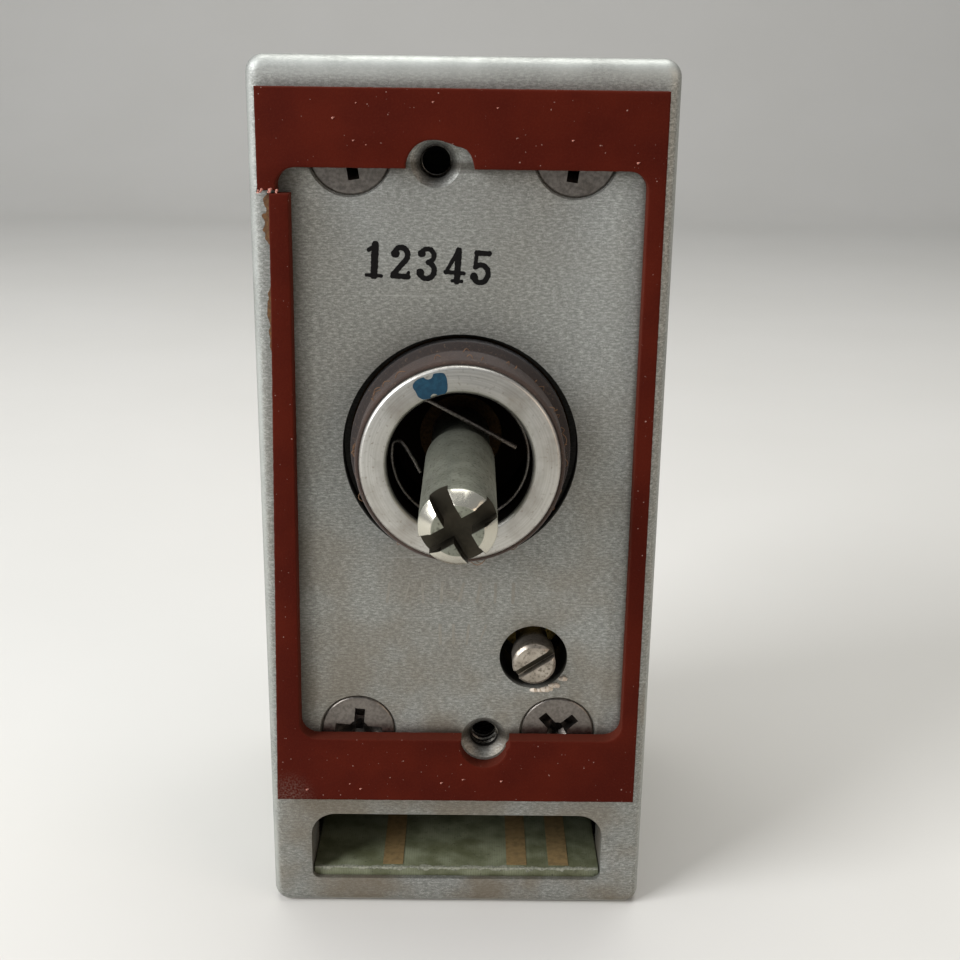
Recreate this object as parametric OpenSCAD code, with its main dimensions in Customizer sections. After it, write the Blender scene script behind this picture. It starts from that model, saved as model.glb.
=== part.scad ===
// Panel-mounted selector key switch: a gasketed front plate on a rectangular case, an outer
// selector collar with an inner cross-slotted key spindle, a slotted adjuster, and a circuit
// board that shows its contact tracks through a window near the base.
// Millimetres. X is to the right, Y runs into the case from the front face of the plate, and
// Z is up. The origin is on the control axis, at the front face of the plate.

/* [Housing] */
// Width of the front plate and case
housing_w = 38.1; // [37.8:0.1:38.6]
// Height of the front plate and case
housing_h = 85; // [84.6:0.1:86]
// Depth from the front face to the back of the rear cover
housing_depth = 38.1; // [38:0.1:42]
// Height of the control axis above the base
axis_height = 49.65; // [49.5:0.05:49.8]
// Thickness of the front plate
plate_t = 6.35; // [6:0.05:6.4]
// Radius of the rounded front edge
edge_round = 1.2; // [0.6:0.1:1.5]
// Radius of the upright corners
corner_r = 1.6; // [1.5:0.1:2.5]
// Thickness of the case walls
wall_t = 1.6; // [1.2:0.1:1.7]
// Thickness of the rear cover
cover_t = 1.6; // [1.2:0.1:2]
// Thickness of the gasket under the rear cover
rear_gasket_t = 0.8; // [0.5:0.1:1]

/* [Face gasket] */
// Thickness of the face gasket
gasket_t = 1.6; // [1:0.1:2]
// Width of the gasket's upper and lower bars
gasket_w = 35.8; // [35:0.1:36.2]
// Top edge of the gasket, above the control axis
gasket_top = 32.65; // [32:0.05:33]
// Bottom edge of the gasket, below the control axis
gasket_bottom = 36.45; // [36:0.05:37]
// Height of the upper bar
upper_bar_h = 6.75; // [6.5:0.05:7]
// Height of the lower bar
lower_bar_h = 6.85; // [6.5:0.05:7]
// Width of the narrow right-hand arm
right_arm_w = 1.55; // [1.2:0.05:2]
// Radius of the window's inner corners
gasket_inner_r = 1.7; // [1:0.1:2.5]

/* [Controls] */
// Outer diameter of the selector collar
collar_d = 18.4; // [18:0.1:18.6]
// Bore of the collar, which the key enters
key_bore_d = 13.3; // [13:0.1:13.6]
// How far the collar stands in front of the plate
collar_proud = 4.9; // [4:0.1:6]
// Depth of the key bore behind the plate face
key_bore_depth = 5.5; // [5:0.1:6]
// Diameter of the key spindle
spindle_d = 6.35; // [6.3:0.01:6.4]
// How far the spindle's tip stands in front of the plate
spindle_proud = 22.65; // [21:0.05:24]
// Chamfer at the spindle's tip
spindle_chamfer = 1.05; // [0.8:0.05:1.2]
// Width of the cross slots in the spindle
cross_slot_w = 1.6; // [1.2:0.1:1.8]
// Depth of the cross slots
cross_slot_depth = 2; // [1.5:0.1:2.5]
// Angle of the first cross slot
cross_slot_angle = 30; // [0:5:85]
// Travel of the spindle when it is pushed
push_travel = 1.5; // [1:0.1:1.5]

/* [Adjuster] */
// Sideways place of the adjuster
adjuster_x = 7.4; // [7.2:0.1:7.6]
// Height of the adjuster, from the control axis
adjuster_z = -21.2; // [-21.3:0.1:-21]
// Diameter of the adjuster's head
adjuster_head_d = 4.25; // [4:0.05:4.5]
// How far the head stands in front of the plate
adjuster_proud = 1.8; // [1:0.1:2]
// Diameter of the hole that the adjuster sits in
adjuster_hole_d = 6.7; // [6.5:0.1:7]
// Angle of the screwdriver slot
adjuster_slot_angle = 34; // [0:1:89]

/* [Fastenings] */
// Minor diameter of the tapped mounting holes
tapped_d = 2.87; // [2.8:0.01:3]
// Countersink at the mouth of the tapped holes
tapped_mouth_d = 4.5; // [4:0.1:4.8]
// Head diameter of the four face screws
face_screw_head_d = 7.6; // [7.2:0.1:7.8]
// Shank diameter of the four face screws
face_screw_d = 4.16; // [4:0.01:4.2]

/* [Board window] */
// Half of the window's width
window_half_w = 15; // [14.8:0.1:15]
// Bottom of the window, above the base
window_low = 3.05; // [3:0.05:3.2]
// Top of the window, above the base
window_high = 10.65; // [10.4:0.05:11]
// Thickness of the circuit board
board_t = 1.6; // [1.5:0.1:1.6]
// Top of the circuit board, above the base
board_top = 3.9; // [3.9:0.05:4]
// Width of a contact track
track_w = 2.1; // [1.8:0.1:2.4]

/* [Hidden] */
$fn = 72;

cut = 1;             // how far a cutting shape runs past the face that it cuts
overlap = 0.1;       // how far two shapes of one piece run into each other
snug = 0.01;         // clearance of a fixed fit
seat = 0.02;         // gap between two faces that bear on each other
running = 0.03;      // radial clearance of a running fit
loose = 0.05;        // clearance of a screw in its hole
wide = 0.15;         // clearance of a screw in an open hole
blind = 0.2;         // how far a blind hole runs past the screw in it

base_z = -axis_height;
top_z = housing_h - axis_height;
half_w = housing_w / 2;
cover_y = housing_depth - cover_t;
case_end_y = cover_y - rear_gasket_t;
case_inner_r = 1;
floor_z = base_z + wall_t;

// Places of what passes through the front plate, as [x, z] from the control axis
face_screw_at = [[-10, 27.1], [10, 27.1], [-10, -29.4], [10, -29.4]];
upper_tapped_at = [-2.4, 26.4];
lower_tapped_at = [2.65, -30.1];
case_bolt_at = [[-15.6, 32], [15.6, 32], [-15.6, -35.5], [15.6, -35.5]];
adjuster_at = [adjuster_x, adjuster_z];

case_bolt_r = 1.42;
case_bolt_tip_y = 2.4;
case_bolt_head_r = 2.75;
case_bolt_head_h = 1.8;
case_bolt_edge = 0.5;
case_bolt_slot = 0.8;
countersink_h = 1.95;
screw_sunk = 0.12;
face_screw_tip_y = 12.4;
small_screw_r = 1.1;

// The mechanism stands behind the plate on four standoffs, in two bays
standoff_r = 3.175;
mid_y = 14;
mid_t = 1.6;
bearing_y = 30;
bearing_t = 1.6;
frame_half_w = 13.8;
frame_top = 31.1;
frame_bottom = -33.4;
stud_r = 1.5;
stud_tip_y = 12.8;
standoff_screw_tip_y = 24;

// Collar stack, along Y
collar_r = collar_d / 2;
key_bore_r = key_bore_d / 2;
seal_r = 10.35;
seal_recess_r = 11.05;
seal_recess_y = 2;
bush_r = 10.5;
bush_flange_r = 12.5;
bush_end_y = 8;
clip_y = 8.6;
clip_t = 0.8;
clip_groove_r = 8.6;
clip_r = 10.7;
washer_r = 11.6;
collar_shoulder_y = 10.2;
collar_tail_r = 7.95;
collar_drive_y = 17;
collar_drive_r = 6;
drive_flat = 5;
collar_end_y = 20;
spindle_bush_r = 4;
spindle_bush_len = 4;
wheel_flat = 7.2;

// Detent
wheel_r = 14.2;
wheel_t = 2;
notch_r = 1.5;
notch_centre_r = 14.5;
detent_step = 30;
collar_swing = 60;
stop_r = 10.2;
stop_pin_r = 1;
thrust_ring_r = 8.9;
leaf_z = 14.6;
leaf_t = 0.4;
leaf_back_x = -12.6;
nose_r = 1.25;
post_screw_at = [-10.5, 17.2];
post_front_y = 9.8;
clamp_y = 11.6;
clamp_screw_r = 0.8;

// Rotary wafer
wafer_y = 18;
wafer_t = 1.5;
wafer_half = 13.5;
wafer_hole_r = 8.9;
wafer_screw_at = [[10.9, 10.9], [-10.9, -10.9]];
wafer_screw_r = 0.95;
contact_at = [11.4, 0];
contact_rivet_r = 0.8;
contact_t = 0.3;
blade_t = 0.3;

// Push and turn of the spindle
spindle_r = spindle_d / 2;
journal_r = 2.5;
shaft_r = 2.8;
shaft_y = -4;
spindle_end_y = 33;
spindle_clip_t = 0.6;
spindle_clip_land_r = 2;
yoke_y = 21.6;
yoke_t = 1.4;
yoke_gap = 0.05;
guide_at = [[0, 18.5], [0, -18.5]];
guide_r = 1.5;
spring_coil_r = 2.35;
spring_wire_r = 0.24;
plunger_r = 0.9;
plunger_gap = 0.08;
plunger_len = 5;
cam_y = 24.4;
cam_t = push_travel + 2 * plunger_r + 0.5;
cam_low_r = 5.5;
cam_lift = 1.5;
cam_pin_y = 26.3;
cam_pin_r = 0.75;
cam_plunger_y = 27;
push_plunger_x = -12.4;
push_plunger_end_y = 27.2;
push_switch_y = 25.2;
switch_half_h = 6.5;
switch_near_x = 9.4;
switch_far_x = 16.4;
switch_screw_x = 11.4;
switch_screw_z = 4.6;
switch_screw_r = 0.95;
switch_screw_tip_y = 26.8;
terminal_x = [-15.4, -12.9, -10.4, 10.4, 12.9, 15.4];
terminal_y = 27.2;

// Adjuster
adjuster_shaft_r = 1.5875;
adjuster_shoulder_y = 1.4;
adjuster_end_y = 19.4;
adjuster_slot_w = 0.9;
trimmer_r = 5.2;
trimmer_wall = 0.6;
trimmer_end_y = 21.2;
wiper_y = 17.4;
trimmer_pin_r = 0.4;
trimmer_pin_at = [adjuster_at - [2.4, 0], adjuster_at, adjuster_at + [2.4, 0]];

// Board
board_top_z = base_z + board_top;
board_low_z = board_top_z - board_t;
board_fit = 0.1;
board_half_w = window_half_w - board_fit;
board_front_y = 0.7;
board_back_y = 34;
board_screw_at = [[-11.5, 28], [11.5, 28]];
board_screw_sunk = 1.1;
board_hole_r = 1.25;
track_x = [-6.7, 6.3, 10.7];
track_t = 0.05;
track_front_y = 1.3;
track_back_y = 25.2;

// Lead wires: the points of each route, [x, y, z]
wire_r = 0.45;
wire_routes = [
    [[-12.9, 27.4, -10.4], [-12.6, 27.2, -14], [-9, 26.8, -20], [-5.4, 26.4, -25],
     [-5, 26, -32], [-5.6, 25.4, -39], [-6.5, 24.6, -43], [-6.7, 24, -45.1]],
    [[12.9, 27.4, -10.4], [12.4, 27.4, -13.5], [8.6, 27.6, -17.5], [5, 27.8, -22],
     [4.2, 27.4, -29], [4.6, 26.4, -37], [5.8, 25, -42.4], [6.3, 24, -45.1]],
    [[7.4, 24.75, -21.3], [7.2, 25.4, -22.6], [6.3, 25.4, -25.4], [6, 24.6, -30],
     [7.2, 23.4, -36], [9.6, 22.4, -42], [10.7, 22, -45.1]]
];

// ---- helpers -------------------------------------------------------------------------

// Cylinder along Y, from y0 to y1, at [x, z]
module rod(y0, y1, r, at = [0, 0])
    translate([at[0], y0, at[1]]) rotate([-90, 0, 0]) cylinder(h = y1 - y0, r = r);

// Cone along Y, from radius r0 at y0 to radius r1 at y1
module cone(y0, y1, r0, r1, at = [0, 0])
    translate([at[0], y0, at[1]]) rotate([-90, 0, 0]) cylinder(h = y1 - y0, r1 = r0, r2 = r1);

// Ring along Y
module ring(y0, y1, outer, inner, at = [0, 0])
    difference() {
        rod(y0, y1, outer, at);
        rod(y0 - cut, y1 + cut, inner, at);
    }

// Flat shape drawn in X and Z, made into a slab from y0 to y1
module slab(y0, y1)
    translate([0, y1, 0]) rotate([90, 0, 0]) linear_extrude(height = y1 - y0) children();

// Profile of [radius, y] points turned about the control axis
module turned(points, at = [0, 0])
    translate([at[0], 0, at[1]]) rotate([-90, 0, 0]) rotate_extrude() polygon(points);

// Rectangle on the X, Z plane from its low corner, with its corners rounded
module card(x0, z0, x1, z1, low_r, high_r) {
    polygon([[x0 + low_r, z0], [x1 - low_r, z0], [x1, z0 + low_r], [x1, z1 - high_r],
             [x1 - high_r, z1], [x0 + high_r, z1], [x0, z1 - high_r], [x0, z0 + low_r]]);
    for (x = [x0 + low_r, x1 - low_r]) translate([x, z0 + low_r]) circle(low_r);
    for (x = [x0 + high_r, x1 - high_r]) translate([x, z1 - high_r]) circle(high_r);
}

// Points of an arc about a centre, from angle a0 to a1
function arc(centre, r, a0, a1) =
    [for (k = [0 : 6]) let (a = a0 + (a1 - a0) * k / 6) centre + r * [cos(a), sin(a)]];

// Outline of the housing, drawn in by an inset
module housing_outline(inset, r)
    card(-half_w + inset, base_z + inset, half_w - inset, top_z - inset, r, r);

// Slot with square ends that follows an arc, so that a pin of its width can run from a0 to a1
module arc_slot(radius, half_slot, a0, a1) {
    end = asin(half_slot / radius);
    intersection() {
        difference() {
            circle(radius + half_slot);
            circle(radius - half_slot);
        }
        polygon(concat([[0, 0]], arc([0, 0], 2 * radius, a0 - end, a1 + end)));
    }
}

// Cross recess of a screw head, cut into the head from y0
module cross_recess(y0, depth, reach, w, at)
    for (turn = [45, 135])
        translate([at[0], y0, at[1]]) rotate([0, turn, 0])
            translate([-reach, -cut, -w / 2]) cube([2 * reach, depth + cut, w]);

// Tube of radius r swept along a list of points, as one closed skin with flat ends
across_y = [0.02, 1, 0.03];
function unit(v) = v / norm(v);
function heading(p, i) =
    unit(p[min(i + 1, len(p) - 1)] - p[max(i - 1, 0)]);
module swept(points, r, sides = 8, side_hint = [0.31, 0.83, 0.46]) {
    n = len(points);
    rim = [for (i = [0 : n - 1])
               let (h = heading(points, i), u = unit(cross(h, side_hint)), v = cross(h, u))
               for (k = [0 : sides - 1])
                   points[i] + r * (cos(360 * k / sides) * u + sin(360 * k / sides) * v)];
    walls = [for (i = [0 : n - 2], k = [0 : sides - 1])
                 let (a = i * sides + k, b = i * sides + (k + 1) % sides)
                 [a, b, b + sides, a + sides]];
    ends = [[for (k = [sides - 1 : -1 : 0]) k],
            [for (k = [0 : sides - 1]) (n - 1) * sides + k]];
    polyhedron(points = rim, faces = concat(walls, ends), convexity = 6);
}

// ---- housing -------------------------------------------------------------------------

// Front plate blank: four corner pins with a rounded nose, wrapped into one block
module plate_blank() {
    nose = [for (a = [0 : 15 : 90])
                [corner_r - edge_round + edge_round * sin(a), edge_round - edge_round * cos(a)]];
    hull()
        for (x = [-half_w + corner_r, half_w - corner_r],
             z = [base_z + corner_r, top_z - corner_r])
            translate([x, 0, z]) rotate([-90, 0, 0]) rotate_extrude($fn = 32)
                polygon(concat([[0, 0]], nose, [[corner_r, plate_t], [0, plate_t]]));
}

module tapped_hole(at) {
    rod(-cut, plate_t + cut, tapped_d / 2, at);
    cone(-0.001, (tapped_mouth_d - tapped_d) / 2, tapped_mouth_d / 2, tapped_d / 2, at);
}

module face_screw_hole(at) {
    rod(-cut, plate_t + cut, face_screw_d / 2 + loose, at);
    rod(-cut, screw_sunk, face_screw_head_d / 2 + loose, at);
    cone(screw_sunk, screw_sunk + countersink_h, face_screw_head_d / 2 + loose,
         face_screw_d / 2 + loose, at);
}

// Shallow scoop worn from the end of the board window to the side of the plate
module side_scoop() {
    scoop_r = 6;
    scoop_depth = 0.4;
    scoop_height = 6.2;
    translate([window_half_w - 1, scoop_depth - scoop_r, base_z + scoop_height])
        rotate([0, 90, 0]) cylinder(h = half_w, r = scoop_r);
}

module front_plate() color("#8c8e86") difference() {
    window_low_r = 0.8;
    window_high_r = 2.5;
    plate_blank();
    rod(-cut, seal_recess_y, seal_recess_r);
    rod(-cut, plate_t + cut, bush_r);
    rod(-cut, plate_t + cut, adjuster_hole_d / 2, adjuster_at);
    for (at = face_screw_at) face_screw_hole(at);
    tapped_hole(upper_tapped_at);
    tapped_hole(lower_tapped_at);
    for (at = case_bolt_at) rod(case_bolt_tip_y - blind, plate_t + cut, case_bolt_r + loose, at);
    slab(-cut, plate_t + cut)
        card(-window_half_w, base_z + window_low, window_half_w, base_z + window_high,
             window_low_r, window_high_r);
    translate([-window_half_w, board_front_y - board_fit, board_low_z - board_fit / 2])
        cube([2 * window_half_w, plate_t, window_low]);
    side_scoop();
}

module case_body() color("#83857e") difference() {
    slab(plate_t, case_end_y) difference() {
        housing_outline(0, corner_r);
        housing_outline(wall_t, case_inner_r);
    }
    for (at = board_screw_at)
        translate([at[0], at[1], floor_z - board_screw_sunk - loose])
            cylinder(h = board_screw_sunk + cut, r = small_screw_r + loose);
}

module rear_gasket() color("#5a2018")
    slab(case_end_y, cover_y) difference() {
        housing_outline(0.3, 1.3);
        housing_outline(wall_t, case_inner_r);
    }

module rear_cover() color("#83857e") difference() {
    slab(cover_y, housing_depth) housing_outline(0, corner_r);
    for (at = case_bolt_at) rod(cover_y - cut, housing_depth + cut, case_bolt_r + wide, at);
}

module case_bolts() color("#9a958c") {
    end_y = housing_depth + case_bolt_head_h;
    slot_angle = 35;
    for (at = case_bolt_at) difference() {
        union() {
            rod(case_bolt_tip_y, housing_depth + overlap, case_bolt_r, at);
            rod(housing_depth, end_y - case_bolt_edge, case_bolt_head_r, at);
            cone(end_y - case_bolt_edge, end_y, case_bolt_head_r,
                 case_bolt_head_r - case_bolt_edge, at);
        }
        translate([at[0], end_y - case_bolt_slot, at[1]]) rotate([0, slot_angle, 0])
            translate([-case_bolt_head_r - cut, 0, -case_bolt_slot / 2])
                cube([2 * (case_bolt_head_r + cut), case_bolt_slot + cut, case_bolt_slot]);
    }
}

// Face gasket: one strip that runs round the plate. Its left arm is torn from the upper bar,
// and the free end of the arm is pushed inwards.
module face_gasket() color("#57170c") {
    shift = 0.08;
    right = gasket_w / 2 - shift;
    left = right - gasket_w;
    foot = left - 2 * shift;
    upper_z = gasket_top - upper_bar_h;
    lower_z = lower_bar_h - gasket_bottom;
    inner_right = right - right_arm_w;
    inner_left = -15.63;
    tear_z = 23.8;
    stub_x = -16.35;
    r = gasket_inner_r;
    arm_end = [[-16.9, tear_z - 0.15], [-15.15, tear_z - 0.1]];
    upper_notch_r = 2.75;
    lower_notch_r = 2.35;
    upper = upper_tapped_at - [0, 0.25];
    lower = lower_tapped_at - [0, 0.15];
    upper_mouth = [[upper[0], upper_z - 1], [1.05, upper_z - 1], [1.05, upper_z],
                   [0.25, upper_z + 0.9], [-0.1, upper_z + 1.9], [-1.2, upper_z + 2.3],
                   [upper[0], upper_z + 2]];
    lower_mouth = [[lower[0], lower_z + 1], lower + [2.6, lower_z + 1 - lower[1]],
                   lower + [2.5, lower_z - 0.7 - lower[1]],
                   lower + [2.1, lower_z - 1.2 - lower[1]], [lower[0], lower_z - 1.2]];
    slab(-gasket_t, 0) difference() {
        polygon(concat(
            [[foot, -gasket_bottom]], arm_end,
            arc([inner_left + r, lower_z + r], r, 180, 270),
            arc([inner_right - r, lower_z + r], r, 270, 360),
            arc([inner_right - r, upper_z - r], r, 0, 90),
            [[stub_x, upper_z], [stub_x, tear_z + 0.15], [left, tear_z], [left, gasket_top],
             [right, gasket_top], [right, -gasket_bottom]]));
        translate(upper) circle(upper_notch_r);
        polygon(upper_mouth);
        translate(lower) circle(lower_notch_r);
        polygon(lower_mouth);
    }
}

module face_screws() color("#8a8078") {
    recess_depth = 1.7;
    recess_reach = 1.9;
    recess_w = 1;
    for (at = face_screw_at) difference() {
        union() {
            cone(screw_sunk, screw_sunk + countersink_h, face_screw_head_d / 2,
                 face_screw_d / 2, at);
            rod(screw_sunk + countersink_h - snug, face_screw_tip_y, face_screw_d / 2, at);
        }
        cross_recess(screw_sunk, recess_depth, recess_reach, recess_w, at);
    }
}

// ---- mechanism frame -----------------------------------------------------------------

module front_standoffs() color("#b3a15f")
    for (at = face_screw_at) ring(plate_t, mid_y, standoff_r, face_screw_d / 2 + loose, at);

module frame_outline()
    card(-frame_half_w, frame_bottom, frame_half_w, frame_top, 3, 3);

module mechanism_plate() color("#a7a9a4") difference() {
    slab(mid_y, mid_y + mid_t) frame_outline();
    for (at = face_screw_at) rod(mid_y - cut, mid_y + mid_t + cut, stud_r + loose, at);
    for (at = guide_at) rod(mid_y - cut, mid_y + mid_t + cut, guide_r + snug, at);
    for (at = wafer_screw_at) rod(mid_y - cut, mid_y + mid_t + cut, wafer_screw_r + loose, at);
    rod(mid_y - cut, mid_y + mid_t + cut, collar_tail_r + wide);
    rod(mid_y - cut, mid_y + mid_t + cut, adjuster_shaft_r * 2 + loose, adjuster_at);
    rod(mid_y - cut, mid_y + mid_t + cut, small_screw_r + loose, post_screw_at);
    rod(mid_y - cut, mid_y + mid_t + cut, stop_pin_r + snug, [0, -stop_r]);
}

module rear_standoffs() color("#b3a15f")
    for (at = face_screw_at) difference() {
        union() {
            rod(mid_y + mid_t, bearing_y, standoff_r, at);
            rod(stud_tip_y, mid_y + mid_t + overlap, stud_r, at);
        }
        rod(standoff_screw_tip_y - blind, bearing_y + cut, small_screw_r + loose, at);
    }

module bearing_plate() color("#a7a9a4") difference() {
    slab(bearing_y, bearing_y + bearing_t) frame_outline();
    for (at = face_screw_at)
        rod(bearing_y - cut, bearing_y + bearing_t + cut, small_screw_r + wide, at);
    for (at = guide_at) rod(bearing_y - cut, bearing_y + bearing_t + cut, guide_r + snug, at);
    rod(bearing_y - cut, bearing_y + bearing_t + cut, spindle_bush_r);
    for (x = [-switch_screw_x, switch_screw_x], z = [-switch_screw_z, switch_screw_z])
        rod(bearing_y - cut, bearing_y + bearing_t + cut, switch_screw_r + loose, [x, z]);
}

// Pan-head screw whose head sits against a face at y and whose shank runs forward
module pan_screw(y, tip_y, shank_r, head_r, head_h, at) {
    slot = 0.6;
    difference() {
        union() {
            rod(tip_y, y + overlap, shank_r, at);
            rod(y, y + head_h, head_r, at);
        }
        translate([at[0] - head_r - cut, y + head_h - slot, at[1] - slot / 2])
            cube([2 * (head_r + cut), slot + cut, slot]);
    }
}

module standoff_screws() color("#9a958c")
    for (at = face_screw_at)
        pan_screw(bearing_y + bearing_t, standoff_screw_tip_y, small_screw_r, 2.4, 1.5, at);

module guide_pins() color("#c0c2c0")
    for (at = guide_at) rod(mid_y, bearing_y + bearing_t, guide_r, at);

// ---- collar --------------------------------------------------------------------------

module collar_bush() color("#a67c45") difference() {
    union() {
        rod(seal_recess_y, plate_t + overlap, bush_r);
        rod(plate_t, bush_end_y, bush_flange_r);
    }
    rod(0, bush_end_y + cut, collar_r + running);
}

module collar_thrust_washer() color("#d9d4c4")
    ring(bush_end_y + seat, clip_y - seat, washer_r, collar_r + wide);

module selector_collar() color("#b9b8b4") {
    edge = 0.25;
    front = -collar_proud;
    difference() {
        turned([[key_bore_r, front + edge], [key_bore_r + edge, front],
                [collar_r - edge, front], [collar_r, front + edge], [collar_r, clip_y],
                [clip_groove_r, clip_y], [clip_groove_r, clip_y + clip_t],
                [collar_r, clip_y + clip_t], [collar_r, collar_shoulder_y],
                [collar_tail_r, collar_shoulder_y], [collar_tail_r, collar_drive_y],
                [collar_drive_r, collar_drive_y], [collar_drive_r, collar_end_y],
                [spindle_bush_r, collar_end_y], [spindle_bush_r, key_bore_depth],
                [key_bore_r, key_bore_depth]]);
        for (side = [0, 180]) rotate([0, side, 0]) {
            translate([drive_flat, collar_drive_y, -collar_r])
                cube([collar_r, collar_end_y - collar_drive_y + cut, collar_d]);
            translate([-collar_r, collar_shoulder_y, wheel_flat])
                cube([collar_d, wheel_t, collar_r]);
        }
    }
}

module collar_seal() color("#4a352b") {
    inner = collar_r + snug;
    sleeve = inner + 0.4;
    front = -collar_proud + 0.4;
    back = seal_recess_y - 0.1;
    edge = 0.25;
    turned([[inner, front], [sleeve - edge / 2, front], [sleeve, front + edge],
            [sleeve, -edge - overlap], [seal_r - edge, -overlap], [seal_r, edge / 2],
            [seal_r, back], [inner, back]]);
}

module collar_circlip() color("#4f4f52") difference() {
    mouth = [[0, 0], [-4, -14], [4, -14]];
    ring(clip_y + loose, clip_y + clip_t - loose, clip_r, clip_groove_r + snug);
    slab(clip_y - cut, clip_y + clip_t + cut) polygon(mouth);
}

module detent_wheel() color("#8f9193")
    slab(collar_shoulder_y + seat, collar_shoulder_y + wheel_t - seat) difference() {
        circle(wheel_r);
        for (a = [0 : detent_step : 359])
            rotate(a) translate([notch_centre_r, 0]) circle(notch_r);
        intersection() {
            circle(collar_tail_r + seat);
            square([4 * wheel_r, 2 * (wheel_flat + seat)], center = true);
        }
        arc_slot(stop_r, stop_pin_r + 2 * loose, -90 - collar_swing, -90 + collar_swing);
    }

module thrust_ring() color("#b08d57")
    ring(collar_shoulder_y + wheel_t + seat, mid_y - loose, thrust_ring_r, collar_tail_r + snug);

module stop_pin() color("#c0c2c0")
    rod(collar_shoulder_y + wide, mid_y + mid_t, stop_pin_r, [0, -stop_r]);

module detent_post() color("#a7a9a4") difference() {
    half_w = 2.3;
    height = 4.4;
    screw_depth = 2.2;
    translate([post_screw_at[0] - half_w, post_front_y, leaf_z + leaf_t])
        cube([2 * half_w, mid_y - post_front_y, height]);
    rod(11, mid_y + cut, small_screw_r + loose, post_screw_at);
    translate([post_screw_at[0], clamp_y, leaf_z])
        cylinder(h = screw_depth, r = clamp_screw_r + loose);
}

module detent_post_screw() color("#9a958c")
    pan_screw(mid_y + mid_t, 13, small_screw_r, 2, 1.2, post_screw_at);

// Leaf with a half-round nose that drops into a notch of the wheel
module detent_spring() color("#6f7377") difference() {
    front = post_front_y + overlap;
    back = mid_y - 0.4;
    tail_x = 5;
    tail_rise = 0.5;
    slab(front, back) {
        polygon([[leaf_back_x, leaf_z], [1 - nose_r, leaf_z], [1 - nose_r, leaf_z + leaf_t],
                 [leaf_back_x, leaf_z + leaf_t]]);
        polygon([[nose_r - leaf_t, leaf_z], [tail_x, leaf_z + tail_rise],
                 [tail_x, leaf_z + tail_rise + leaf_t], [nose_r - leaf_t, leaf_z + leaf_t]]);
        difference() {
            translate([0, leaf_z]) circle(nose_r);
            translate([0, leaf_z]) circle(nose_r - leaf_t);
            translate([-2 * nose_r, leaf_z + leaf_t]) square([4 * nose_r, 2 * nose_r]);
        }
    }
    translate([post_screw_at[0], clamp_y, leaf_z - cut])
        cylinder(h = leaf_t + 2 * cut, r = clamp_screw_r + loose);
}

module detent_clamp_screw() color("#9a958c") {
    head_r = 1.5;
    head_h = 0.9;
    grip = 1.9;
    translate([post_screw_at[0], clamp_y, leaf_z]) {
        translate([0, 0, -head_h]) cylinder(h = head_h, r = head_r);
        translate([0, 0, -overlap]) cylinder(h = grip + overlap, r = clamp_screw_r);
    }
}

module spindle_bushes() color("#a67c45") {
    rear = collar_end_y - blind;
    ring(key_bore_depth + snug, key_bore_depth + spindle_bush_len, spindle_bush_r,
         shaft_r + running);
    ring(rear - spindle_bush_len, rear, spindle_bush_r, shaft_r + running);
}

// Wire ring near the wall of the key bore, whose two free ends reach in to the spindle
module grip_spring() color("#8e8a86") {
    wire = 0.22;
    ring_r = key_bore_r - wire - loose;
    reach = spindle_r + wire + 0.1;
    leg_y = -3.2;        // where the straight leg starts, the ring starts, and the ring ends
    ring_y = -2.5;
    hook_y = -1.4;
    leg_from = 14;       // angles round the bore, from the leg's free end to the hook's
    leg_to = 118;
    leg_mid = 62.6;
    ring_from = 122;
    ring_to = -199;
    hook_turn = 27;
    leg = [for (t = [0 : 0.125 : 1])
               let (a = leg_from + t * (leg_to - leg_from), r = reach / cos(a - leg_mid))
               [r * cos(a), leg_y + (ring_y - overlap - leg_y) * t, r * sin(a)]];
    loop = [for (k = [0 : 29])
                let (t = k / 29, a = ring_from + (ring_to - ring_from) * t)
                [ring_r * cos(a), ring_y + (hook_y - ring_y) * t, ring_r * sin(a)]];
    hook = [for (t = [0.25 : 0.25 : 1])
                let (a = ring_to + hook_turn * t,
                     r = ring_r - (ring_r - reach - wire) * t * (1 + t) / 2)
                [r * cos(a), hook_y - hook_turn / 40 * t, r * sin(a)]];
    swept(concat(leg, loop, hook), wire, 8, across_y);
}

// ---- rotary wafer --------------------------------------------------------------------

module wafer_stator() color("#8a5a2e")
    slab(wafer_y, wafer_y + wafer_t) difference() {
        card(-wafer_half, -wafer_half, wafer_half, wafer_half, 3, 3);
        circle(wafer_hole_r);
        for (at = wafer_screw_at) translate(at) circle(wafer_screw_r + wide);
        for (a = [0 : 60 : 300]) rotate(a) translate(contact_at) circle(contact_rivet_r);
    }

module wafer_contacts() color("#c9b27a") {
    back = wafer_y + wafer_t;
    foot_t = blade_t + 0.1;
    outer_x = 13;
    for (a = [0 : 60 : 300]) rotate([0, -a, 0]) {
        rod(wafer_y - contact_t, back + overlap, contact_rivet_r, contact_at);
        translate([outer_x - 3, back, -1]) cube([3, foot_t, 2]);
        translate([outer_x - 5.5, back + foot_t, -contact_rivet_r])
            cube([5.5, contact_t, 2 * contact_rivet_r]);
    }
}

module wafer_spacers() color("#b3a15f")
    for (at = wafer_screw_at) ring(mid_y + mid_t, wafer_y, 2 * wafer_screw_r,
                                   wafer_screw_r + wide, at);

module wafer_screws() color("#9a958c")
    for (at = wafer_screw_at)
        pan_screw(wafer_y + wafer_t, mid_y + overlap, wafer_screw_r, 1.8, 1.1, at);

module wafer_rotor() color("#2e2a28")
    slab(wafer_y, wafer_y + wafer_t) difference() {
        circle(wafer_hole_r - wide);
        intersection() {
            circle(collar_drive_r + seat);
            square([2 * (drive_flat + seat), 4 * drive_flat], center = true);
        }
    }

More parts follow.
